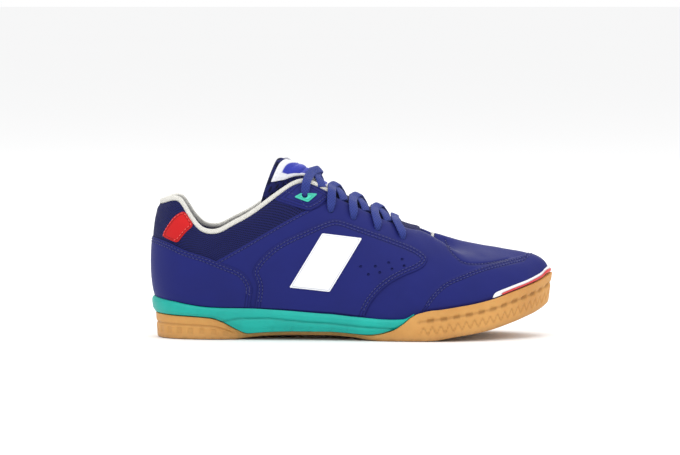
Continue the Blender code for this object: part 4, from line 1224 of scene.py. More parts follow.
class Network:
    """The nodes of one material."""

    def __init__(self, name: str, **constants: float) -> None:
        """Start a Principled material with values that hold all over it."""
        self.material = bpy.data.materials.new(name)
        self.material.use_nodes = True
        self.tree = self.material.node_tree
        self.shader = self.tree.nodes["Principled BSDF"]
        for socket, value in constants.items():
            self.shader.inputs[socket.replace("_", " ")].default_value = value

    def node(
        self,
        kind: str,
        settings: dict[str, object] | None = None,
        sockets: dict[int | str, object] | None = None,
        output: int | str = 0,
    ) -> Wire:
        """Add a node.

        Args:
            kind: The node's type.
            settings: Its settings, set first.
            sockets: Values or wires for its inputs.
            output: The output to give.

        Returns:
            The output.
        """
        made = self.tree.nodes.new(kind)
        for key, value in (settings or {}).items():
            setattr(made, key, value)
        for key, value in (sockets or {}).items():
            self.feed(made.inputs[key], value)
        return Wire(self, made.outputs[output])

    def feed(self, socket: bpy.types.NodeSocket, value: object) -> None:
        """Link a wire to a socket, or set the socket's value."""
        if isinstance(value, Wire):
            self.tree.links.new(value.socket, socket)
        elif isinstance(value, tuple) and len(value) == 3 and socket.type == "RGBA":
            socket.default_value = (*value, 1.0)
        else:
            socket.default_value = value

    def place(self) -> Wire:
        """Read the place on the object in metres."""
        return self.node("ShaderNodeTexCoord", output="Object")

    def axes(self, vector: Wire) -> tuple[Wire, Wire, Wire]:
        """Split a vector."""
        split = self.tree.nodes.new("ShaderNodeSeparateXYZ")
        self.feed(split.inputs[0], vector)
        return tuple(Wire(self, output) for output in split.outputs)

    def cloth(self) -> tuple[Wire, Wire]:
        """Read the piece's own two texture lengths in metres."""
        u, v, _ = self.axes(self.node("ShaderNodeTexCoord", output="UV"))
        return u, v

    def attribute(self, name: str) -> Wire:
        """Read a number stored on the vertices."""
        return self.node("ShaderNodeAttribute", {"attribute_name": name}, output="Fac")

    def noise(self, vector: Wire, scale: float, detail: float = 2.0, rough: float = 0.5) -> Wire:
        """Add soft noise with so many lumps a metre."""
        sockets = {"Vector": vector, "Scale": scale, "Detail": detail, "Roughness": rough}
        return self.node("ShaderNodeTexNoise", None, sockets)

    def cells(self, vector: Wire, scale: float) -> Wire:
        """Add the distances of a cell pattern."""
        return self.node("ShaderNodeTexVoronoi", None, {"Vector": vector, "Scale": scale})

    def blend(self, share: Wire | float, first: object, second: object) -> Wire:
        """Mix two colours."""
        return self.node("ShaderNodeMix", {"data_type": "RGBA"}, {0: share, 6: first, 7: second}, 2)

    def dress(self, colour: Wire, roughness: Wire, height: Wire, depth: float) -> bpy.types.Material:
        """Feed the shader.

        Args:
            colour: The base colour.
            roughness: The roughness.
            height: The bump, from 0 to 1.
            depth: The bump's depth in metres.

        Returns:
            The material.
        """
        bump = self.node("ShaderNodeBump", None, {"Height": height, "Distance": depth, "Strength": 1.0})
        self.feed(self.shader.inputs["Base Color"], colour)
        self.feed(self.shader.inputs["Roughness"], roughness)
        self.feed(self.shader.inputs["Normal"], bump)
        return self.material


def display(red: int, green: int, blue: int) -> Colour:
    """Turn a display colour of 0 to 255 into a linear one."""
    return tuple(((c / 255 + 0.055) / 1.055) ** 2.4 if c > 10 else c / 3295 for c in (red, green, blue))


def darker(colour: Colour, share: float) -> Colour:
    """Scale a colour."""
    return tuple(c * share for c in colour)


@dataclass(frozen=True)
class Microfibre:
    """Smooth synthetic leather with a fine nap, sunk along its seams, with painted shade in the seam grooves.
    """

    name: str
    colour: Colour
    seams: tuple[float, ...] = ()
    meshed: bool = False
    mesh_colour: Colour = display(20, 24, 74)

    def build(self) -> bpy.types.Material:
        """Make the material."""
        net = Network(self.name, Specular_IOR_Level=0.2, Sheen_Weight=0.03, Sheen_Roughness=0.45, IOR=1.42)
        place = net.place()
        cloud = net.noise(place, 38.0, 3.0)
        fleck = net.noise(place, 1400.0, 3.0, 0.65)
        grain = net.noise(place, 4200.0, 2.0)
        scuff = net.noise(place, 110.0, 5.0, 0.7)
        edge = net.attribute("edge")
        groove = edge.near(self.seams[0], SEAM_WIDTH)
        for seam in self.seams[1:]:
            groove = groove.larger(edge.near(seam, SEAM_WIDTH))
        raw = edge.step(0.0009, 0.0002)
        tone = net.blend(cloud * 0.7 + fleck * 0.3, darker(self.colour, 0.80), darker(self.colour, 1.22))
        # Painted shade darkens the sunk seam grooves.
        tone = net.blend(groove * 0.45, tone, darker(self.colour, 0.35))
        tone = net.blend(raw * 0.35, tone, darker(self.colour, 0.45))
        tone = net.blend(scuff.step(0.60, 0.78) * 0.16, tone, darker(self.colour, 1.7))
        rough = cloud * 0.10 + fleck * 0.12 + 0.44
        height = grain * 0.30 + fleck * 0.45 + cloud * 0.5 - groove * 2.2
        if self.meshed:
            gap = net.attribute("mesh")
            share = gap.step(-0.0001, 0.0001)
            seam = gap.near(-0.0018, SEAM_WIDTH).larger(net.attribute("seam"))
            # Painted shade darkens the sunk seams along the band's stitching and the toe arc.
            tone = net.blend(seam * 0.45, tone, darker(self.colour, 0.35))
            u, v = net.cloth()
            holes = (u.wave(MESH_PITCH) * v.wave(MESH_PITCH * 0.8)).step(0.10, 0.75)
            ribs = (u * 1.0 + v * 0.4).wave(MESH_PITCH * 0.5) * 0.5 + 0.5
            ribbed = net.blend(ribs, self.mesh_colour, darker(self.mesh_colour, 1.5))
            cloth = net.blend(holes, ribbed, darker(self.mesh_colour, 0.16))
            tone = net.blend(share, tone, cloth)
            rough = rough * (1 - share) + share * 0.72
            woven = ribs * 0.8 - holes * 2.4
            height = (height - seam * 2.2) * (1 - share) + woven * share
        return net.dress(tone, rough, height, 0.00016)


@dataclass(frozen=True)
class Fabric:
    """Knitted mesh or lining cloth that reads the piece's own lengths."""

    name: str
    colour: Colour
    pitch: float
    holes: float = 1.0

    def build(self) -> bpy.types.Material:
        """Make the material."""
        net = Network(self.name, Specular_IOR_Level=0.25, Sheen_Weight=0.06, IOR=1.4)
        place = net.place()
        u, v = net.cloth()
        holes = (u.wave(self.pitch) * v.wave(self.pitch * 0.8)).step(0.10, 0.80) * self.holes
        ribs = (u + v * 0.5).wave(self.pitch * 0.45) * 0.5 + 0.5
        fuzz = net.noise(place, 2600.0, 3.0, 0.7)
        cloud = net.noise(place, 50.0, 2.0)
        tone = net.blend(ribs * 0.5 + fuzz * 0.5, darker(self.colour, 0.72), darker(self.colour, 1.30))
        tone = net.blend(holes, tone, darker(self.colour, 0.25))
        rough = fuzz * 0.15 + cloud * 0.05 + 0.66
        return net.dress(tone, rough, ribs * 0.6 + fuzz * 0.5 - holes * 2.0, 0.00018)


@dataclass(frozen=True)
class Rubber:
    """Moulded rubber or foam, mottled, darker and greyer near the bottom, with painted shade in its cut
    grooves.
    """

    name: str
    colour: Colour
    mottle: Colour
    bottom_tint: Colour
    roughness: float
    bottom_tint_share: float = 0.35

    def build(self) -> bpy.types.Material:
        """Make the material."""
        net = Network(self.name, Specular_IOR_Level=0.3, Subsurface_Weight=0.04, Subsurface_Scale=0.004)
        place = net.place()
        cloud = net.noise(place, 30.0, 4.0, 0.6)
        speck = net.noise(place, 900.0, 3.0, 0.7)
        pores = net.cells(place, 1500.0)
        low = net.attribute("low")
        carved = net.attribute("carved")
        tone = net.blend(cloud.step(0.30, 0.72), self.mottle, self.colour)
        # Painted shade darkens the cut grooves and the tread's cuts.
        tone = net.blend(carved * 0.55, tone, darker(self.mottle, 0.45))
        tone = net.blend(speck.step(0.55, 0.80) * 0.25, tone, darker(self.mottle, 0.75))
        # Darker and greyer towards the bottom.
        tone = net.blend(low * self.bottom_tint_share, tone, self.bottom_tint)
        rough = speck * 0.16 + cloud * 0.10 + (self.roughness - 0.10)
        height = speck * 0.6 + pores * 0.35
        return net.dress(tone, rough, height, 0.00008)


@dataclass(frozen=True)
class Film:
    """Smooth moulded film with a fine rim line."""

    name: str
    colour: Colour
    line: Colour
    line_at: float = 0.0010
    line_width: float = 0.00035

    def build(self) -> bpy.types.Material:
        """Make the material."""
        net = Network(self.name, IOR=1.5, Coat_Roughness=0.25)
        place = net.place()
        cloud = net.noise(place, 60.0, 3.0)
        grain = net.noise(place, 3200.0, 2.0)
        edge = net.attribute("edge")
        rim = edge.near(self.line_at, self.line_width)
        tone = net.blend(cloud, darker(self.colour, 0.93), self.colour)
        tone = net.blend(rim, tone, self.line)
        rough = cloud * 0.10 + grain * 0.12 + 0.28
        height = grain * 0.4 - rim * 1.6
        net.feed(net.shader.inputs["Coat Weight"], cloud * 0.15 + 0.10)
        return net.dress(tone, rough, height, 0.00010)


@dataclass(frozen=True)
class Braid:
    """Flat braided cord: plaits cross along its length."""

    name: str
    colour: Colour
    plait: float = 0.0022
    strands: float = 0.0012

    def build(self) -> bpy.types.Material:
        """Make the material."""
        net = Network(self.name, Specular_IOR_Level=0.3, Sheen_Weight=0.08, IOR=1.4)
        place = net.place()
        u, v = net.cloth()
        right = (u + v).wave(self.plait) * 0.5 + 0.5
        left = (u - v).wave(self.plait) * 0.5 + 0.5
        over = (u.wave(self.plait) * v.wave(self.strands * 2)).step(-0.3, 0.3)
        plaits = right * over + left * (1 - over)
        fuzz = net.noise(place, 3800.0, 3.0, 0.7)
        tone = net.blend(plaits * 0.7 + fuzz * 0.3, darker(self.colour, 0.50), darker(self.colour, 1.35))
        rough = fuzz * 0.15 + 0.62
        return net.dress(tone, rough, plaits * 1.3 + fuzz * 0.5, 0.00022)


@dataclass(frozen=True)
class Woven:
    """A woven label: a plain field in a plain frame."""

    name: str
    field: Colour
    frame: Colour
    border: float = 0.0017

    def build(self) -> bpy.types.Material:
        """Make the material."""
        net = Network(self.name, Sheen_Weight=0.1)
        place = net.place()
        u, v = net.cloth()
        weft = u.wave(0.0007) * 0.5 + 0.5
        warp = v.wave(0.0011) * 0.5 + 0.5
        fuzz = net.noise(place, 3000.0, 2.0)
        inside = net.attribute("edge").step(self.border - 0.0002, self.border + 0.0002)
        tone = net.blend(inside, self.frame, self.field)
        shade = net.blend(inside, darker(self.frame, 0.72), darker(self.field, 0.45))
        tone = net.blend(weft * warp * 0.35, tone, shade)
        return net.dress(tone, fuzz * 0.2 + 0.5, weft * 0.7 + warp * 0.5 + fuzz * 0.3, 0.00010)


@dataclass(frozen=True)
class Thread:
    """Sewing thread, twisted."""

    name: str
    colour: Colour

    def build(self) -> bpy.types.Material:
        """Make the material."""
        net = Network(self.name, Sheen_Weight=0.2)
        place = net.place()
        x, _, z = net.axes(place)
        twist = (x + z).wave(0.0005) * 0.5 + 0.5
        fuzz = net.noise(place, 5000.0, 2.0)
        tone = net.blend(twist * 0.6 + fuzz * 0.4, darker(self.colour, 0.65), darker(self.colour, 1.25))
        return net.dress(tone, fuzz * 0.2 + 0.45, twist, 0.00006)


@dataclass(frozen=True)
class Plain:
    """The studio floor."""

    name: str
    colour: Colour

    def build(self) -> bpy.types.Material:
        """Make the material."""
        net = Network(self.name, Specular_IOR_Level=0.0)
        haze = net.noise(net.place(), 0.6, 2.0)
        tone = net.blend(haze, darker(self.colour, 0.995), self.colour)
        return net.dress(tone, haze * 0.05 + 0.9, haze, 0.00001)


@dataclass
class Shell:
    """The hollow upper with its own seams, holes and folds."""

    stations: int = 540
    rows: int = 100
    inner_rows: int = 22
    rim_rows: int = 4
    band_step: float = 0.0004
    toe_step: float = 0.0006
    puff: float = 0.0009
    ripple: float = 0.00012
    hole_radius: float = 0.0022
    hole_depth: float = 0.0120
    vamp_rows: tuple[float, float] = (0.0014, 0.0031)
    band_row: float = 0.0018
    step_edge: tuple[float, float] = (-0.0003, 0.0006)
    arc_depth: float = 0.00035
    arc_width: float = 0.0008
    row_depth: float = 0.00016
    row_width: float = 0.0006
    dimple_depth: float = 0.0006
    dimple_width: float = 0.0040
    thread_lift: float = 0.0001
    stitching: Stitching = Stitching()

    def relief(self, levels: Array, spots: Array) -> Array:
        """Give how far the face stands off the last.

        Args:
            levels: The levels of the points.
            spots: The points on the last.

        Returns:
            The offset outwards in metres.
        """
        flat = spots[:, (0, 2)]
        band = trace_distance(flat, side_line(BAND_EDGE))
        vamp = trace_distance(flat, side_line(VAMP_SEAM))
        arc = trace_distance(flat, side_line(TOE_ARC))
        made = self.band_step * soft_step(-band, *self.step_edge) * soft_step(levels, 0.15, 0.40)
        made += self.toe_step * soft_step(-vamp, *self.step_edge)
        made -= self.arc_depth * hump(arc, self.arc_width)
        for row in self.vamp_rows:
            made -= self.row_depth * hump(vamp + row, self.row_width)
        collar = soft_step(band, 0.0, 0.010) * soft_step(levels, 0.55, 0.78)
        collar = collar * soft_step(1.0 - levels, 0.0, 0.06)
        made += self.puff * collar
        for along, rise, direction, half_length, half_width, depth in CREASES:
            away = flat - to_side_view(np.array([[along, rise]]))
            angle = math.radians(direction)
            run = away @ np.array([math.cos(angle), math.sin(angle)]) * 1000
            side = away @ np.array([-math.sin(angle), math.cos(angle)]) * 1000
            made -= depth / 1000 * hump(run, half_length) * hump(side, half_width)
        x, y, z = (spots * 1000).T
        made += self.ripple * np.sin(x * 0.31 + z * 0.17) * np.sin(z * 0.37 - y * 0.23 + 1.0)
        for along, level in EYELETS:
            for side in Side:
                hole = LAST.skin(np.array([turn_of(along, side)]), np.array([level]))
                away = np.linalg.norm(spots - hole, axis=1)
                made -= self.dimple_depth * hump(away, self.dimple_width)
        fade = soft_step(levels, 0.0, 0.03) * soft_step(1.0 - levels, 0.0, 0.03)
        return made * fade

    def lift(self, track: Track) -> Array:
        """Give the face's offset along a line."""
        return self.relief(track.levels, LAST.skin(track.turns, track.levels)) + self.thread_lift

    def build(self, finishes: "Finishes") -> None:
        """Make the shell, pierce it and sew its seams."""
        turns = np.linspace(0.0, 2 * math.pi, self.stations + 1)
        levels = np.linspace(0.0, 1.0, self.rows)
        foot = LAST.edge("bed", turns) + LAST.gap
        tuck = LAST.lip + LAST.bed_tuck + LAST.gap
        grid_levels, grid_turns = np.meshgrid(levels, turns, indexing="ij")
        face = (grid_turns.ravel(), grid_levels.ravel())
        base = LAST.skin(*face)
        outer = LAST.offset(*face, self.relief(face[1], base)).reshape(self.rows, -1, 3)
        full = np.ones(len(turns))
        wall = LAST.wall_at(turns, full)
        onward = unit(LAST.skin(turns, full) - LAST.skin(turns, full * 0.97))
        rim = []
        for share in np.linspace(0.0, 1.0, self.rim_rows + 2)[1:-1]:
            crown = math.sin(math.pi * share) * 0.0004
            rim.append(LAST.offset(turns, full, -wall * share) + onward * crown)
        inside = []
        for level in np.linspace(1.0, 0.0, self.inner_rows):
            inside.append(LAST.offset(turns, level * full, -LAST.wall_at(turns, level * full)))
        bottom = LAST.ring(turns, tuck, foot)
        closing = LAST.ring(turns, tuck + LAST.wall, foot)
        rows = [bottom[None], outer, np.array(rim), np.array(inside), closing[None], bottom[None]]
        rows = np.concatenate(rows)
        widest = outer[int(self.rows * 0.75)]
        around = np.append(0.0, np.cumsum(np.linalg.norm(np.diff(widest, axis=0), axis=1)))
        up = np.linalg.norm(np.diff(rows, axis=0), axis=2).mean(axis=1)
        height = np.append(0.0, np.cumsum(up))
        uv = np.stack(np.meshgrid(around, height), axis=-1)
        made = laid_grid("upper_shell", rows, uv)
        row_of_face = np.arange(len(made.data.polygons)) // self.stations
        inner = (row_of_face > self.rows + self.rim_rows // 2).astype(np.int32)
        made.data.materials.append(None)
        made.data.materials.append(None)
        made.data.polygons.foreach_set("material_index", inner)
        weld(made)
        spots = []
        normals = []
        for along, level in EYELETS:
            for side in Side:
                here = (np.array([turn_of(along, side)]), np.array([level]))
                spots.append(LAST.skin(*here)[0])
                normals.append(LAST.normal(*here)[0])
        bores = drills(np.array(spots), np.array(normals), self.hole_radius, self.hole_depth, 24)
        cut(made, bores, "DIFFERENCE")
        self.measure(made)
        smooth(made, 50.0)
        indices = np.zeros(len(made.data.polygons), np.int32)
        made.data.polygons.foreach_get("material_index", indices)
        settle(made, [finishes.shell, finishes.lining], ["upper"])
        made.data.polygons.foreach_set("material_index", np.minimum(indices, 1))
        self.sew(finishes)

    def measure(self, made: bpy.types.Object) -> None:
        """Store the distances to the seams for the finish."""
        flat = points_of(made)[:, (0, 2)]
        band = trace_distance(flat, side_line(BAND_EDGE))
        vamp = trace_distance(flat, side_line(VAMP_SEAM))
        arc = trace_distance(flat, side_line(TOE_ARC))
        mark(made, "mesh", np.where(flat[:, 0] < 0.0, band, -0.05))
        mark(made, "edge", np.where(vamp < 0.0, -vamp, 0.05))
        # The toe arc's seam, which sets the painted shade in its groove.
        mark(made, "seam", hump(arc, 0.0007))

    def sew(self, finishes: "Finishes") -> None:
        """Sew the vamp's seams and the band's edge."""
        vamp = side_line(VAMP_SEAM)
        run = unit(np.gradient(vamp, axis=0))
        down = np.stack([run[:, 1], -run[:, 0]], axis=-1)
        tracks = [round_the_shoe(vamp + down * row) for row in self.vamp_rows]
        arc = side_line(TOE_ARC)
        band = side_line(BAND_EDGE)
        band_run = unit(np.gradient(band, axis=0))
        below = band + np.stack([band_run[:, 1], -band_run[:, 0]], axis=-1) * self.band_row
        tracks += [Track.traced(arc, side) for side in Side]
        tracks += [Track.traced(below[below[:, 1] < 0.092], side) for side in Side]
        made = self.stitching.sew("upper_stitches", tracks, self.lift)
        settle(made, [finishes.thread_navy])


class Layer(Enum):
    """How far a panel's two faces stand off the upper."""

    FIRST = (0.0001, 0.0014)
    SECOND = (0.0013, 0.0026)


@dataclass
class Panel:
    """One overlay, cut from the upper's own form to a side view outline and sewn down."""

    name: str
    outline: Array
    first: float
    last: float
    sides: tuple[float, float]
    layer: Layer
    slot: str
    rows: tuple[float, ...] = ()
    holes: Sequence[Sequence[float]] = ()
    hole_radius: float = 0.0011
    pillow: float = 0.0004
    step: float = 0.0075
    levels: int = 90
    top_level: float = 1.0

    def build(self, finish: bpy.types.Material, thread: bpy.types.Material) -> bpy.types.Object:
        """Make the panel.

        Args:
            finish: The panel's material.
            thread: The thread's material.

        Returns:
            The panel.
        """
        turns = np.linspace(self.first, self.last, int((self.last - self.first) / self.step) + 1)
        levels = np.linspace(0.02, self.top_level, self.levels)
        grid_turns, grid_levels = np.meshgrid(turns, levels, indexing="ij")
        face = (grid_turns.ravel(), grid_levels.ravel())
        low, high = self.layer.value
        shape = grid_turns.shape + (3,)
        under = LAST.offset(*face, low)
        top = LAST.offset(*face, high)
        made = slab(f"sewn_{self.name}", top.reshape(shape), under.reshape(shape))
        tool = prism(self.outline, self.sides[0] * LAST.ball_width, self.sides[1] * LAST.ball_width)
        cut(made, tool, "INTERSECT")
        self.pierce(made)
        self.round_edges(made, (top + under) / 2, LAST.normal(*face))
        smooth(made, 35.0)
        settle(made, [finish], [self.name])
        if self.rows:
            self.sew(thread)
        return made

    def pierce(self, made: bpy.types.Object) -> None:
        """Cut the small air holes and the top eyelet."""
        side = Side.OUTER if self.sides[0] < 0.0 else Side.INNER
        if self.holes:
            shares = np.array(self.holes)
            turns, levels = LAST.find(shares[:, 0], shares[:, 1], side)
            spots = LAST.skin(turns, levels)
            bores = drills(spots, LAST.normal(turns, levels), self.hole_radius, PERFORATION_DEPTH, 12)
            cut(made, bores, "DIFFERENCE")
        if "eyelet" in self.name:
            along, level = EYELETS[0]
            here = (np.array([turn_of(along, side)]), np.array([level]))
            bore = drills(LAST.skin(*here), LAST.normal(*here), EYELET_BORE, EYELET_BORE_DEPTH, 24)
            cut(made, bore, "DIFFERENCE")

    def round_edges(self, made: bpy.types.Object, middle: Array, normals: Array) -> None:
        """Sink the outer face along the outline and store the distance to it."""
        points = points_of(made)
        closed = np.concatenate([self.outline, self.outline[:1]])
        edge = np.abs(trace_distance(points[:, (0, 2)], closed))
        mark(made, "edge", edge)
        tree = KDTree(len(middle))
        for index, spot in enumerate(middle):
            tree.insert(spot, index)
        tree.balance()
        nearest = np.array([tree.find(point)[1] for point in points])
        height = np.einsum("ij,ij->i", points - middle[nearest], normals[nearest])
        rim = np.clip(1.0 - edge / ROLLED_EDGE, 0.0, 1.0)
        drop = self.pillow * rim * rim
        for row in self.rows:
            drop = drop + STITCH_SINK * hump(edge - row, STITCH_SINK_WIDTH)
        move_points(made, points - normals[nearest] * (drop * (height > 0))[:, None])

    def sew(self, thread: bpy.types.Material) -> None:
        """Sew the panel down along its outline, except where the sole hides it."""
        tracks = []
        for row in self.rows:
            line = inset_line(self.outline, row)
            if self.sides[0] < 0.0 < self.sides[1]:
                line = line[line[:, 1] > SEWN_ABOVE]
                order = np.argsort(line[:, 0])
                tracks.append(round_the_shoe(line[order][::-1]))
            else:
                side = Side.OUTER if self.sides[0] < 0.0 else Side.INNER
                tracks.append(Track.traced(line, side).opened())
        made = Stitching().sew(f"{self.name}_stitches", tracks, self.layer.value[1] - 0.0001)
        settle(made, [thread])


@dataclass
class Sole:
    """The gum outsole, the teal midsole and the insole."""

    stations: int = 880
    side_rows: int = 42
    bottom_columns: int = 72
    groove_depth: float = 0.0013
    slot_pitch: float = 0.0094
    zigzag_pitch: float = 0.0062
    tread_pitch: float = 0.0062
    tread_depth: float = 0.0009
    edge_round: float = 0.0012

    def side_relief(self, turns: Array, share: float, run: Array) -> Array:
        """Give how deep the gum's side is cut.

        Args:
            turns: The stations.
            share: The height, 0 at the bottom and 1 at the top of the gum.
            run: The length walked round the sole at each station.

        Returns:
            The depth in metres.
        """
        along = (1 + np.cos(turns)) / 2
        front = soft_step(along, 0.655, 0.675)
        heel = soft_step(0.215 - along, 0.0, 0.02)
        groove = hump(share - 0.68, 0.045) * front + hump(share - 0.62, 0.050) * heel
        dash = soft_step(np.cos(run * 2 * math.pi / self.slot_pitch), -0.35, 0.15)
        deep = hump(share - 0.68, 0.075) * front * dash
        swing = np.cos(run * 2 * math.pi / self.zigzag_pitch)
        zigzag = hump(share - 0.34 - 0.11 * swing, 0.050) * front
        boxes = soft_step(np.cos(run * 2 * math.pi / 0.0085), -0.1, 0.3) * heel
        box = boxes * soft_step(share, 0.20, 0.25) * soft_step(0.53 - share, 0.0, 0.05)
        return self.groove_depth * (0.55 * groove + 0.75 * deep + 0.55 * zigzag + 0.30 * box)

    def tread(self, x: Array, y: Array, border: Array) -> Array:
        """Give how deep the underside is cut at places, faded near its border."""
        zig = np.abs(((y / 0.020) % 1.0) * 2 - 1) * 0.010
        bars = soft_step(np.cos((x + zig) * 2 * math.pi / self.tread_pitch), 0.25, 0.65)
        rim = soft_step(border, 0.10, 0.13)
        flex = sum(hump(x - (along - 0.5) * LAST.length, 0.0016) for along in (0.60, 0.66, 0.72))
        return self.tread_depth * np.maximum(bars * rim, 1.4 * flex * soft_step(border, 0.02, 0.06))

    def cup(self, turns: Array) -> tuple[Array, Array, Array]:
        """Give the gum's inner wall inset, its lean and the floor's height."""
        along = (1 + np.cos(turns)) / 2
        lift = LAST.edge("lift", turns)
        bed = LAST.edge("bed", turns)
        under = along < MIDSOLE_FRONT + 0.001
        thin = lift + np.minimum(0.0045, (LAST.edge("gum", turns) - lift) * 0.85)
        rise = soft_step(along, 0.52, MIDSOLE_FRONT)
        floor = np.where(under, thin * (1 - rise) + (bed - MIDSOLE_LINING - LAST.gap) * rise, bed)
        share = soft_step(along, 0.55, 0.60)
        lined = (LAST.edge("gum_in", turns) + 0.0035) * (1 - share)
        lined = lined + (LAST.lip - MIDSOLE_LINING - LAST.gap) * share
        return np.where(under, lined, LAST.lip), LAST.bed_tuck * share, floor

    def across(self, ring: Array, columns: int) -> Array:
        """Lay rows of points across a ring, from its outer to its inner half."""
        half = self.stations // 2
        outer = ring[: half + 1]
        inner = ring[half:][::-1]
        shares = np.linspace(0.0, 1.0, columns + 1)[None, :, None]
        return outer[:, None] * (1 - shares) + inner[:, None] * shares

    def build_outsole(self, finishes: "Finishes") -> None:
        """Make the gum with its side pattern and tread."""
        turns = np.linspace(0.0, 2 * math.pi, self.stations + 1)
        under = LAST.edge("lift", turns)
        top = LAST.edge("gum", turns)
        base = LAST.edge("base_in", turns)
        side = LAST.edge("gum_in", turns)
        wall, tuck, floor = self.cup(turns)
        tall = top - under
        corner = np.minimum(self.edge_round, tall * 0.25)
        widest = LAST.ring(turns, base, under)
        run = np.append(0.0, np.cumsum(np.linalg.norm(np.diff(widest, axis=0), axis=1)))
        rings = []
        depths = []
        for angle in np.linspace(0.0, math.pi / 2, 5):
            inset = base + self.edge_round * (1 - math.sin(angle))
            rings.append(LAST.ring(turns, inset, under + corner * (1 - math.cos(angle))))
            depths.append(0 * turns)
        start = corner / tall
        for k in range(1, self.side_rows):
            share = start + (1 - start) * k / self.side_rows
            cut_in = np.array(
                [
                    float(self.side_relief(turns[i : i + 1], share[i], run[i : i + 1])[0])
                    for i in range(len(turns))
                ]
            )
            rings.append(LAST.ring(turns, base + (side - base) * share + cut_in, under + tall * share))
            depths.append(cut_in)
        soft = np.minimum(0.0005, tall * 0.1)
        rings.append(LAST.ring(turns, side, top - soft))
        rings.append(LAST.ring(turns, side + soft * 0.3, top - soft * 0.3))
        rings.append(LAST.ring(turns, side + soft, top))
        rings.append(LAST.ring(turns, np.maximum(wall, side + soft * 1.5), top))
        rings.append(LAST.ring(turns, wall + tuck, floor))
        body = laid_grid("outsole_gum", np.array(rings))
        bottom = self.across(rings[0], self.bottom_columns)
        half = np.linspace(0.0, 1.0, self.bottom_columns + 1)
        half = np.minimum(half, half[::-1])
        ends = np.minimum(np.arange(len(bottom)), np.arange(len(bottom))[::-1]) / 120.0
        border = np.minimum(half[None, :] * 2, ends[:, None])
        bottom[..., 2] += self.tread(bottom[..., 0], bottom[..., 1], border)
        floor_face = laid_grid("outsole_floor", self.across(rings[-1], 4))
        made = join([body, laid_grid("outsole_tread", bottom), floor_face])
        weld(made, 2e-6)
        points = points_of(made)
        lift = np.interp(points[:, 0], *self.floor_line())
        # How near the underside each place lies, for the darker, greyer tint.
        mark(made, "low", soft_step(0.006 - (points[:, 2] - lift), 0.0, 0.006))
        known = KDTree(len(rings) * len(turns))
        for index, spot in enumerate(np.array(rings).reshape(-1, 3)):
            known.insert(spot, index)
        known.balance()
        depth = np.concatenate(depths)
        depth = np.append(depth, np.zeros(len(rings) * len(turns) - len(depth)))
        found = [known.find(point) for point in points]
        carved = np.array([depth[index] if far < CARVED_NEAR else 0.0 for _, index, far in found])
        tread = self.tread(points[:, 0], points[:, 1], np.full(len(points), 0.5))
        tread = tread * (points[:, 2] - lift < 0.002)
        # How deep each place is cut, which sets the painted shade in the grooves.
        deepest = np.maximum(carved / self.groove_depth, tread / self.tread_depth * 0.4)
        mark(made, "carved", np.clip(deepest, 0.0, 1.0))
        smooth(made, 45.0)
        settle(made, [finishes.gum], ["outsole"])

    def floor_line(self) -> tuple[Array, Array]:
        """Give the underside's height along the shoe."""
        turns = np.linspace(math.pi, 0.0, 120)
        return LAST.outline(turns)[0], LAST.edge("lift", turns)

    def build_midsole(self, finishes: "Finishes") -> None:
        """Make the foam's lip with its groove and ticks."""
        front = turn_of(MIDSOLE_FRONT) + 0.002
        turns = np.linspace(front, 2 * math.pi - front, 521)
        wall, tuck, floor = self.cup(turns)
        floor = floor + LAST.gap
        seat = LAST.edge("gum", turns) + LAST.seat_gap
        lip = np.maximum(LAST.edge("lip", turns), seat + LAST.gap)
        bed = np.maximum(LAST.edge("bed", turns), floor + LAST.gap)
        bulge = 0.0022 * np.clip((lip - seat) / (LAST.sole_height / 4), 0.0, 1.0)
        tall = lip - seat
        flat = 0.0 * turns
        inset_knots = [bulge, bulge * 0.25, flat, flat, LAST.lip * 0.22 + flat, LAST.lip * 0.45 + flat]
        height_knots = [seat] + [seat + tall * share for share in (0.25, 0.60, 0.80)]
        height_knots += [lip - tall * 0.06, lip]
        knots = np.stack([np.array(inset_knots), np.array(height_knots)], axis=-1)
        rows = [LAST.ring(turns, wall + tuck + LAST.seat_gap, floor)]
        rows.append(LAST.ring(turns, wall + LAST.seat_gap, np.maximum(seat, floor + LAST.gap / 2)))
        line = side_line_of_heights(MIDSOLE_GROOVE)
        for share in np.linspace(0.0, 5.0, 34):
            low = min(int(share), 4)
            mix = share - low
            inset, height = (knots[low] * (1 - mix) + knots[low + 1] * mix).T
            x = LAST.outline(turns)[0]
            aim = np.interp(x, line[:, 0], line[:, 1])
            ends = soft_step(x, line[0, 0] - 0.002, line[0, 0] + 0.004)
            ends = ends * soft_step(line[-1, 0] - x, -0.002, 0.004)
            inset = inset + 0.0010 * hump(height - aim, 0.0008) * ends
            for along in MIDSOLE_TICKS:
                at = (along - 0.5) * LAST.length
                tick = hump(x - at - (height - seat) * 0.4, 0.0006)
                tick = tick * soft_step(seat + tall * 0.28 - height, 0.0, 0.0008)
                inset = inset + 0.0006 * tick
            rows.append(LAST.ring(turns, inset, height))
        rows.append(LAST.ring(turns, LAST.lip + 0 * turns, lip))
        rows.append(LAST.ring(turns, LAST.lip + LAST.bed_tuck + 0 * turns, bed))
        body = laid_grid("midsole_foam", np.array(rows))
        half = len(turns) // 2
        parts = [body]
        for ring in (rows[0], rows[-1]):
            outer = ring[: half + 1][:, None]
            inner = ring[half:][::-1][:, None]
            shares = np.linspace(0.0, 1.0, 5)[None, :, None]
            parts.append(laid_grid("midsole_face", outer * (1 - shares) + inner * shares))
        section = np.array(rows)
        shares = np.linspace(0.0, 1.0, 5)[None, :, None]
        parts.append(laid_grid("midsole_end", section[:, :1] * (1 - shares) + section[:, -1:] * shares))
        made = join(parts)
        weld(made, 2e-6)
        points = points_of(made)
        # How low each place lies, for the darker, greyer tint.
        mark(made, "low", soft_step(0.007 - points[:, 2], 0.0, 0.007))
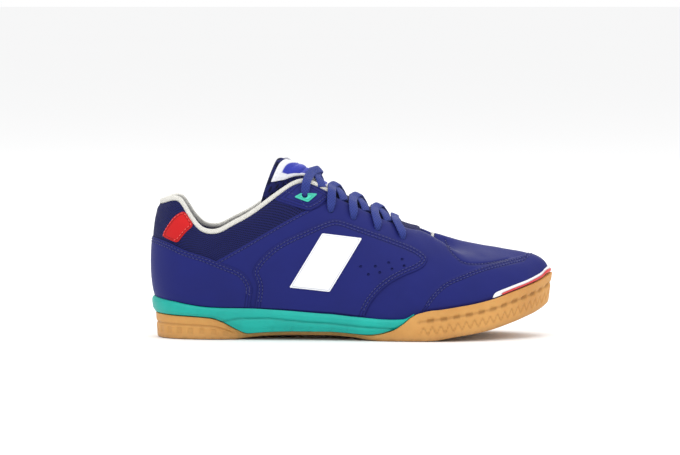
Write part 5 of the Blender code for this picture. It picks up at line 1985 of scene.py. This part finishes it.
        # The groove's line, which sets the painted shade in it.
        groove = hump(points[:, 2] - np.interp(points[:, 0], line[:, 0], line[:, 1]), 0.0007)
        inside = (points[:, 0] > line[0, 0]) & (points[:, 0] < line[-1, 0])
        mark(made, "carved", groove * inside * 0.8)
        smooth(made, 45.0)
        settle(made, [finishes.foam], ["midsole"])

    def build_insole(self, finishes: "Finishes") -> None:
        """Make the sock lining with a rounded rim."""
        turns = np.linspace(0.0, 2 * math.pi, self.stations + 1)
        bed = LAST.edge("bed", turns) + LAST.gap
        inset = LAST.lip + LAST.bed_tuck + 2 * LAST.gap + LAST.wall
        thick = 0.0035
        rings = [
            LAST.ring(turns, inset + 0.0006, bed + LAST.gap),
            LAST.ring(turns, inset + 0.0001, bed + thick * 0.3),
            LAST.ring(turns, inset, bed + thick * 0.6),
            LAST.ring(turns, inset + 0.0003, bed + thick * 0.9),
            LAST.ring(turns, inset + 0.0010, bed + thick),
        ]
        top = self.across(rings[-1], 24)
        flat = top[..., :2].copy()
        body = laid_grid("insole_sock", np.array(rings))
        under_face = laid_grid("insole_under", self.across(rings[0], 4))
        made = join([body, laid_grid("insole_top", top, flat), under_face])
        weld(made, 2e-6)
        smooth(made, 45.0)
        settle(made, [finishes.sock], ["insole"])


def side_line_of_heights(table: Sequence[Sequence[float]]) -> Array:
    """Turn shares of the length and the sole height into metres."""
    return np.array([((along - 0.5) * LAST.length, rise * LAST.sole_height) for along, rise in table])


@dataclass
class Tongue:
    """The padded tongue and its woven label."""

    stations: int = 150
    columns: int = 84
    tuck: int = 10
    pad: float = 0.0048
    label_low: float = 0.0007
    label_thick: float = 0.0010

    def face(self, turns: Array) -> Array:
        """Give the tongue's outer face, from under the outer edge to under the inner one."""
        levels = np.linspace(0.78, 0.99, self.tuck)
        rows = []
        for turn in turns:
            spots = np.full(self.tuck, turn)
            depth = LAST.wall_at(spots, levels) + LAST.tongue_gap
            outer = LAST.offset(spots, levels, -depth)
            spots = 2 * math.pi - spots
            inner = LAST.offset(spots, levels, -(LAST.wall_at(spots, levels) + LAST.tongue_gap))
            middle = LAST.tongue_row(turn, np.linspace(0.0, 6.0, self.columns))
            rows.append(np.concatenate([outer, middle, inner[::-1]]))
        return np.array(rows)

    def build(self, finishes: "Finishes") -> None:
        """Make the pad."""
        front = turn_of(TONGUE_SECTIONS[-1][0])
        back = turn_of(TONGUE_SECTIONS[0][0])
        face = self.face(np.linspace(front, back, self.stations))
        normal = unit(np.cross(np.gradient(face, axis=1), np.gradient(face, axis=0)))
        if normal[self.stations // 2, face.shape[1] // 2, 2] < 0:
            normal = -normal
        columns = np.arange(face.shape[1])
        side = np.minimum(columns, columns[::-1]) / 14.0
        rows = np.arange(self.stations)
        end = np.minimum(rows, rows[::-1]) / 4.0
        round_side = np.sqrt(1 - (1 - np.clip(side, 0.02, 1.0)) ** 2)
        round_end = np.sqrt(1 - (1 - np.clip(end, 0.02, 1.0)) ** 2)
        share = round_side[None, :] * round_end[:, None]
        middle = face - normal * self.pad * 0.5 * round_side[None, :, None]
        half = normal * (self.pad * 0.5 * share)[..., None]
        u = np.append(0.0, np.cumsum(np.linalg.norm(np.diff(face[self.stations // 2], axis=0), axis=1)))
        v = np.append(0.0, np.cumsum(np.linalg.norm(np.diff(face[:, face.shape[1] // 2], axis=0), axis=1)))
        made = slab("tongue_pad", middle + half, middle - half, np.stack(np.meshgrid(u, v), axis=-1))
        smooth(made, 60.0)
        settle(made, [finishes.tongue], ["tongue"])
        self.build_label(finishes)

    def build_label(self, finishes: "Finishes") -> None:
        """Make the label on the tongue's face."""
        turns = np.linspace(turn_of(0.470), turn_of(0.300), 70)
        shares = np.linspace(1.5, 4.5, 60)
        face = np.array([LAST.tongue_row(turn, shares) for turn in turns])
        normal = np.array([LAST.tongue_normal(turn, shares) for turn in turns])
        u = np.append(0.0, np.cumsum(np.linalg.norm(np.diff(face[35], axis=0), axis=1)))
        v = np.append(0.0, np.cumsum(np.linalg.norm(np.diff(face[:, 30], axis=0), axis=1)))
        edge = np.minimum(np.minimum(u, u[-1] - u)[None, :], np.minimum(v, v[-1] - v)[:, None])
        crown = np.sqrt(1 - (1 - np.clip(edge / 0.0012, 0.0, 1.0)) ** 2)
        top = face + normal * (self.label_low + self.label_thick * (0.3 + 0.7 * crown))[..., None]
        under = face + normal * 0.0001
        made = slab("tongue_label_cloth", top, under, np.stack(np.meshgrid(u, v), axis=-1))
        tree = KDTree(face.shape[0] * face.shape[1])
        for index, spot in enumerate(face.reshape(-1, 3)):
            tree.insert(spot, index)
        tree.balance()
        flat = edge.ravel()
        mark(made, "edge", np.array([flat[tree.find(point)[1]] for point in points_of(made)]))
        smooth(made, 60.0)
        settle(made, [finishes.label], ["tongue_label"])


def tube(
    name: str, spots: Array, ups: Array, sizes: Array, sides: int, squareness: float
) -> bpy.types.Object:
    """Make a closed tube along a path.

    Args:
        name: The object's name.
        spots: The path's points.
        ups: The direction of the flat side at each point.
        sizes: The width and thickness at each point.
        sides: The points round the tube.
        squareness: 1 for an ellipse, less for a flatter one.

    Returns:
        The tube, with its length and width as texture places.
    """
    run = unit(np.gradient(spots, axis=0))
    side = unit(np.cross(run, ups))
    up = np.cross(side, run)
    angles = np.linspace(0.0, 2 * math.pi, sides + 1)
    across = np.sign(np.cos(angles)) * np.abs(np.cos(angles)) ** squareness
    rise = np.sign(np.sin(angles)) * np.abs(np.sin(angles)) ** squareness
    rings = (
        spots[:, None]
        + side[:, None] * across[None, :, None] * sizes[:, :1, None] / 2
        + up[:, None] * rise[None, :, None] * sizes[:, 1:, None] / 2
    )
    caps = [np.repeat(spots[[k]], sides + 1, axis=0)[None] for k in (0, -1)]
    rows = np.concatenate([caps[0], rings, caps[1]])
    length = np.append(0.0, np.cumsum(np.linalg.norm(np.diff(spots, axis=0), axis=1)))
    length = np.concatenate([length[:1], length, length[-1:]])
    u = np.repeat(length[:, None], sides + 1, axis=1)
    v = np.repeat((across * float(sizes[:, 0].max()) / 2)[None], len(rows), axis=0)
    made = laid_grid(name, rows, np.stack([u, v], axis=-1))
    weld(made, 2e-6)
    return made


@dataclass
class Bindings:
    """The white edges of the collar and the throat."""

    collar: float = 0.0036
    throat: float = 0.0020
    rise: float = 0.0003
    stand: float = 0.0005

    def run(
        self, name: str, node: str, first: float, last: float, width: float, finish: bpy.types.Material
    ) -> None:
        """Lay a binding along the opening from one turn to another."""
        turns = np.linspace(first, last, int(abs(last - first) / 0.010))
        full = np.ones(len(turns))
        top = LAST.skin(turns, full)
        onward = unit(top - LAST.skin(turns, full * 0.97))
        normal = LAST.normal(turns, full)
        sink = LAST.wall_at(turns, full) - width / 2 - self.rise
        centre = top - normal * sink[:, None] + onward * (width / 2 + self.stand)
        sizes = np.full((len(turns), 2), width * 1.06)
        ends = np.minimum(np.arange(len(turns)), np.arange(len(turns))[::-1])
        sizes *= np.sqrt(1 - (1 - np.clip((ends + 0.6) / 4.0, 0.0, 1.0)) ** 2)[:, None]
        made = tube(name, centre, normal, sizes, 20, 0.85)
        smooth(made, 60.0)
        settle(made, [finish], [node])

    def build(self, finishes: "Finishes") -> None:
        """Lay both bindings."""
        start = turn_of(0.484)
        self.run("collar_edge", "collar_binding", start, 2 * math.pi - start, self.collar, finishes.binding)
        front = turn_of(0.83)
        self.run("throat_edge", "throat_binding", -front, front, self.throat, finishes.binding)


@dataclass
class Lacing:
    """The flat lace: out of each eyelet, over the edge, across the tongue and under the far edge."""

    width: float = 0.0064
    thickness: float = 0.0026
    span: float = 0.62
    steps: int = 110

    def over_edge(self, turn: float, level: float, lift: float) -> tuple[Array, Array]:
        """Give a knot off the upper's face and its flat side."""
        here = (np.array([turn]), np.array([level]))
        return LAST.offset(*here, lift)[0], LAST.normal(*here)[0]

    def over_tongue(self, turn: float, share: float, lift: float) -> tuple[Array, Array]:
        """Give a knot off the tongue's face and its flat side."""
        at = np.array([share])
        normal = LAST.tongue_normal(turn, at)[0]
        return LAST.tongue_row(turn, at)[0] + normal * (lift + self.thickness / 2), normal

    def out_of_hole(self, turn: float, level: float) -> list[tuple[Array, Array]]:
        """Give the knots that rise through an eyelet."""
        here = (np.array([turn]), np.array([level]))
        onward = unit(LAST.skin(here[0], here[1] + 0.02)[0] - LAST.skin(*here)[0])
        spots = [LAST.offset(*here, depth)[0] for depth in (-0.0045, -0.0010)]
        return [(spot, -onward) for spot in spots]

    def lay(self, name: str, knots: list[tuple[Array, Array]], holes: tuple[bool, bool]) -> bpy.types.Object:
        """Lay one lace along its knots, gathered where it passes an eyelet."""
        places = np.array([knot[0] for knot in knots])
        shares = np.linspace(0.0, len(knots) - 1.0, self.steps)
        spots = curve_through(places, shares)
        ups = unit(curve_through(np.array([knot[1] for knot in knots]), shares))
        far = np.append(0.0, np.cumsum(np.linalg.norm(np.diff(spots, axis=0), axis=1)))
        spread = np.ones(len(far))
        if holes[0]:
            spread *= soft_step(far, 0.0025, 0.0105)
        if holes[1]:
            spread *= soft_step(far[-1] - far, 0.0025, 0.0105)
        width = 0.0038 + (self.width - 0.0038) * spread
        thick = 0.0032 + (self.thickness - 0.0009 - 0.0032) * spread
        return tube(name, spots, ups, np.stack([width, thick], axis=-1), 20, 0.62)

    def crossing(self, number: int, side: Side) -> bpy.types.Object:
        """Lay one strand from an eyelet toward the next one across."""
        start = turn_of(EYELETS[number][0])
        end = turn_of(EYELETS[number + 1][0])
        level = EYELETS[number][1]
        low, edge_lift, stand = LACE_OVER[number]
        near = (lambda turn: turn) if side is Side.OUTER else (lambda turn: 2 * math.pi - turn)
        extra = self.thickness * 0.8 if side is Side.OUTER else 0.0
        knots = self.out_of_hole(near(start), level)
        knots.append(self.over_edge(near(start + (end - start) * 0.02), level + 0.055, low))
        knots.append(self.over_edge(near(start + (end - start) * 0.06), 1.0, edge_lift))
        for share, mix, lift in LACE_WAY:
            turn = start + (end - start) * mix * self.span
            across = share if side is Side.OUTER else 6.0 - share
            knots.append(self.over_tongue(turn, across, stand + extra * lift))
        return self.lay(f"lace_{number + 1}_{side.value}", knots, (True, False))

    def build(self, finishes: "Finishes") -> None:
        """Lay the crossings and the bar."""
        for number in range(len(EYELETS) - 1):
            made = join([self.crossing(number, side) for side in Side])
            made.name = f"laces_{number + 1}"
            smooth(made, 60.0)
            settle(made, [finishes.lace], [f"lace_crossing_{number + 1}"])
        along, level = EYELETS[-1]
        turn = turn_of(along)
        low, edge_lift, stand = LACE_OVER[-1]
        rise = self.out_of_hole(turn, level)
        rise += [self.over_edge(turn, level + 0.055, low), self.over_edge(turn, 1.0, edge_lift)]
        fall = self.out_of_hole(-turn, level)
        fall += [self.over_edge(-turn, level + 0.055, low), self.over_edge(-turn, 1.0, edge_lift)]
        middle = [self.over_tongue(turn, share, stand) for share in (1.8, 3.0, 4.2)]
        made = self.lay("laces_bar", rise + middle + fall[::-1], (True, True))
        smooth(made, 60.0)
        settle(made, [finishes.lace], ["lace_bar"])


@dataclass
class Finishes:
    """Every finish of the shoe, made once."""

    shell: bpy.types.Material
    panel: bpy.types.Material
    lining: bpy.types.Material
    sock: bpy.types.Material
    tongue: bpy.types.Material
    red: bpy.types.Material
    patch: bpy.types.Material
    badge: bpy.types.Material
    guard: bpy.types.Material
    stripe: bpy.types.Material
    gum: bpy.types.Material
    foam: bpy.types.Material
    binding: bpy.types.Material
    lace: bpy.types.Material
    label: bpy.types.Material
    thread_navy: bpy.types.Material
    thread_red: bpy.types.Material
    thread_white: bpy.types.Material

    @staticmethod
    def made() -> "Finishes":
        """Make every finish."""
        navy = display(24, 30, 100)
        return Finishes(
            shell=Microfibre("navy shell", navy, (0.0014, 0.0031), meshed=True).build(),
            panel=Microfibre("navy panel", navy, (0.0016, 0.0036)).build(),
            lining=Fabric("navy lining", display(34, 38, 96), 0.0016, 0.4).build(),
            sock=Fabric("sock lining", display(40, 44, 110), 0.0022, 0.6).build(),
            tongue=Fabric("tongue mesh", display(22, 26, 80), 0.0022).build(),
            red=Microfibre("red panel", display(188, 26, 28), (0.0014,)).build(),
            patch=Microfibre("teal patch", display(70, 195, 170), (0.0012,)).build(),
            badge=Film("white badge", display(240, 240, 244), display(178, 180, 190)).build(),
            guard=Film("white guard", display(238, 238, 240), display(205, 205, 208), 0.0, 0.0004).build(),
            stripe=Film("red stripe", display(205, 44, 46), display(150, 30, 34), 0.0, 0.0003).build(),
            gum=Rubber(
                "gum", display(205, 152, 84), display(188, 134, 70), display(150, 118, 80), 0.50
            ).build(),
            foam=Rubber(
                "teal foam", display(14, 170, 156), display(12, 156, 144), display(70, 130, 120), 0.42, 0.2
            ).build(),
            binding=Braid("white binding", display(232, 230, 222), 0.0012, 0.0008).build(),
            lace=Braid("navy lace", display(44, 58, 132)).build(),
            label=Woven("blue label", display(24, 40, 165), display(226, 226, 232)).build(),
            thread_navy=Thread("navy thread", display(30, 36, 108)).build(),
            thread_red=Thread("red thread", display(235, 70, 66)).build(),
            thread_white=Thread("white thread", display(232, 232, 236)).build(),
        )


def build_panels(finishes: Finishes) -> None:
    """Make every overlay on both sides and round the ends."""
    navy = (finishes.panel, finishes.thread_navy)
    white = finishes.thread_white
    pairs = (
        ("side_panel", SIDE_PANEL, 0.20, 0.80, Layer.FIRST, "navy_microfibre", 0.020, TWO_ROWS, *navy),
        ("side_badge", SIDE_BADGE, 0.30, 0.62, Layer.SECOND, "white_film", 0.0010, (), finishes.badge, white),
        (
            "heel_panel", HEEL_PANEL, 0.012, 0.16, Layer.FIRST, "red_microfibre", 0.0030, (0.0014,),
            finishes.red, finishes.thread_red,
        ),
        ("eyelet_tab", EYELET_TAB, 0.28, 0.50, Layer.FIRST, "navy_microfibre", 0.0030, ONE_ROW, *navy),
        (
            "eyelet_patch", EYELET_PATCH, 0.33, 0.46, Layer.SECOND, "teal_patch", 0.0015, (),
            finishes.patch, white,
        ),
    )
    for name, table, back, front, layer, slot, radius, rows, finish, thread in pairs:
        outline = rounded_outline(table, radius)
        holes = PERFORATIONS if name == "side_panel" else ()
        small = name in ("eyelet_patch", "heel_panel", "eyelet_tab")
        extent = {
            "step": NARROW_STEP if small else WIDE_STEP,
            "top_level": 0.99 if name == "heel_panel" else 1.0,
        }
        spans = (
            ("lateral", (turn_of(front), turn_of(back)), OUTER_SPAN),
            ("medial", (turn_of(back, Side.INNER), turn_of(front, Side.INNER)), INNER_SPAN),
        )
        for word, span, sides in spans:
            panel = Panel(f"{name}_{word}", outline, *span, sides, layer, slot, rows, holes, **extent)
            panel.build(finish, thread)
    back = turn_of(0.30)
    front = turn_of(0.80)
    counter = rounded_outline(HEEL_COUNTER, 0.006)
    guard = rounded_outline(above_lip(TOE_GUARD), 0.0030)
    stripe = rounded_outline(above_lip(TOE_STRIPE), 0.0010)
    ends = (
        ("heel_counter", counter, back, 2 * math.pi - back, Layer.FIRST, "navy_microfibre", TWO_ROWS, *navy),
        ("toe_guard", guard, -front, front, Layer.FIRST, "toe_rubber", (), finishes.guard, white),
        (
            "toe_guard_stripe", stripe, -front, front, Layer.SECOND, "red_film", (),
            finishes.stripe, finishes.thread_red,
        ),
    )
    for name, outline, first, last, layer, slot, rows, finish, thread in ends:
        Panel(name, outline, first, last, BOTH_SPAN, layer, slot, rows).build(finish, thread)


def above_lip(table: Sequence[Sequence[float]]) -> list[tuple[float, float]]:
    """Give a side view outline from heights above the sole's lip."""
    low = []
    high = []
    for along, bottom, top in table:
        lip = float(LAST.edge("lip", np.array([turn_of(along)]))[0])
        low.append((along, (lip + bottom * LAST.sole_height) / LAST.collar_height))
        high.append((along, (lip + top * LAST.sole_height) / LAST.collar_height))
    return high + low[::-1]


@dataclass
class Studio:
    """The floor, the lights and the photograph's camera."""

    distance: float = 3.0
    seen_width: float = 0.4918
    aim: tuple[float, float, float] = (-0.00904, 0.0, 0.0785)
    elevation: float = 3.5

    def build(self, floor_finish: bpy.types.Material) -> None:
        """Set up the studio."""
        clear_selection()
        bpy.ops.mesh.primitive_plane_add(size=60.0, location=(0.0, 0.0, -0.0003))
        floor = bpy.context.object
        floor.name = "studio_floor"
        bpy.ops.object.transform_apply(location=True, rotation=True, scale=True)
        floor.data.materials.append(floor_finish)
        floor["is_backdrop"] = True
        self.light("key", (-0.9, -1.6, 2.0), 1.8, 15.0)
        self.light("fill", (1.6, -1.3, 1.3), 1.6, 8.0)
        self.light("top", (0.1, 0.2, 2.4), 2.2, 17.0)
        self.light("back", (0.4, 1.9, 1.5), 1.6, 8.0)
        world = bpy.data.worlds.new("studio")
        world.use_nodes = True
        world.node_tree.nodes["Background"].inputs["Color"].default_value = (1.0, 1.0, 1.0, 1.0)
        world.node_tree.nodes["Background"].inputs["Strength"].default_value = 1.0
        bpy.context.scene.world = world
        bpy.context.scene.view_settings.view_transform = "Standard"
        lens = bpy.data.cameras.new("photo_camera")
        lens.sensor_width = 36.0
        lens.lens = 36.0 * self.distance / self.seen_width
        lens.clip_start = 0.1
        lens.clip_end = 100.0
        camera = bpy.data.objects.new("photo_camera", lens)
        angle = math.radians(self.elevation)
        camera.location = Vector(self.aim) + Vector((0.0, -math.cos(angle), math.sin(angle))) * self.distance
        camera.rotation_euler = (math.pi / 2 - angle, 0.0, 0.0)
        bpy.context.scene.collection.objects.link(camera)
        bpy.context.scene.camera = camera

    def light(self, name: str, place: tuple[float, float, float], size: float, power: float) -> None:
        """Hang a soft square light that faces the shoe."""
        lamp = bpy.data.lights.new(name, "AREA")
        lamp.size = size
        lamp.energy = power
        made = bpy.data.objects.new(name, lamp)
        made.location = place
        made.rotation_euler = (Vector(place) - Vector(self.aim)).to_track_quat("Z", "Y").to_euler()
        bpy.context.scene.collection.objects.link(made)


def corners(box: tuple[Vector, Vector]) -> list[list[float]]:
    """Give a box as plain lists."""
    return [[round(float(value), 5) for value in corner] for corner in box]


def main() -> None:
    """Build the shoe."""
    logging.basicConfig(level=logging.INFO, format="%(name)s: %(message)s")
    cad_box = corners(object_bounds())
    finishes = Finishes.made()
    Shell().build(finishes)
    build_panels(finishes)
    sole = Sole()
    sole.build_outsole(finishes)
    sole.build_midsole(finishes)
    sole.build_insole(finishes)
    Tongue().build(finishes)
    Bindings().build(finishes)
    Lacing().build(finishes)
    Studio().build(Plain("studio floor", (0.93, 0.93, 0.932)).build())
    {"cad": cad_box, "visual": corners(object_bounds())}
    LOG.info("boxes written")


if __name__ == "__main__":
    main()
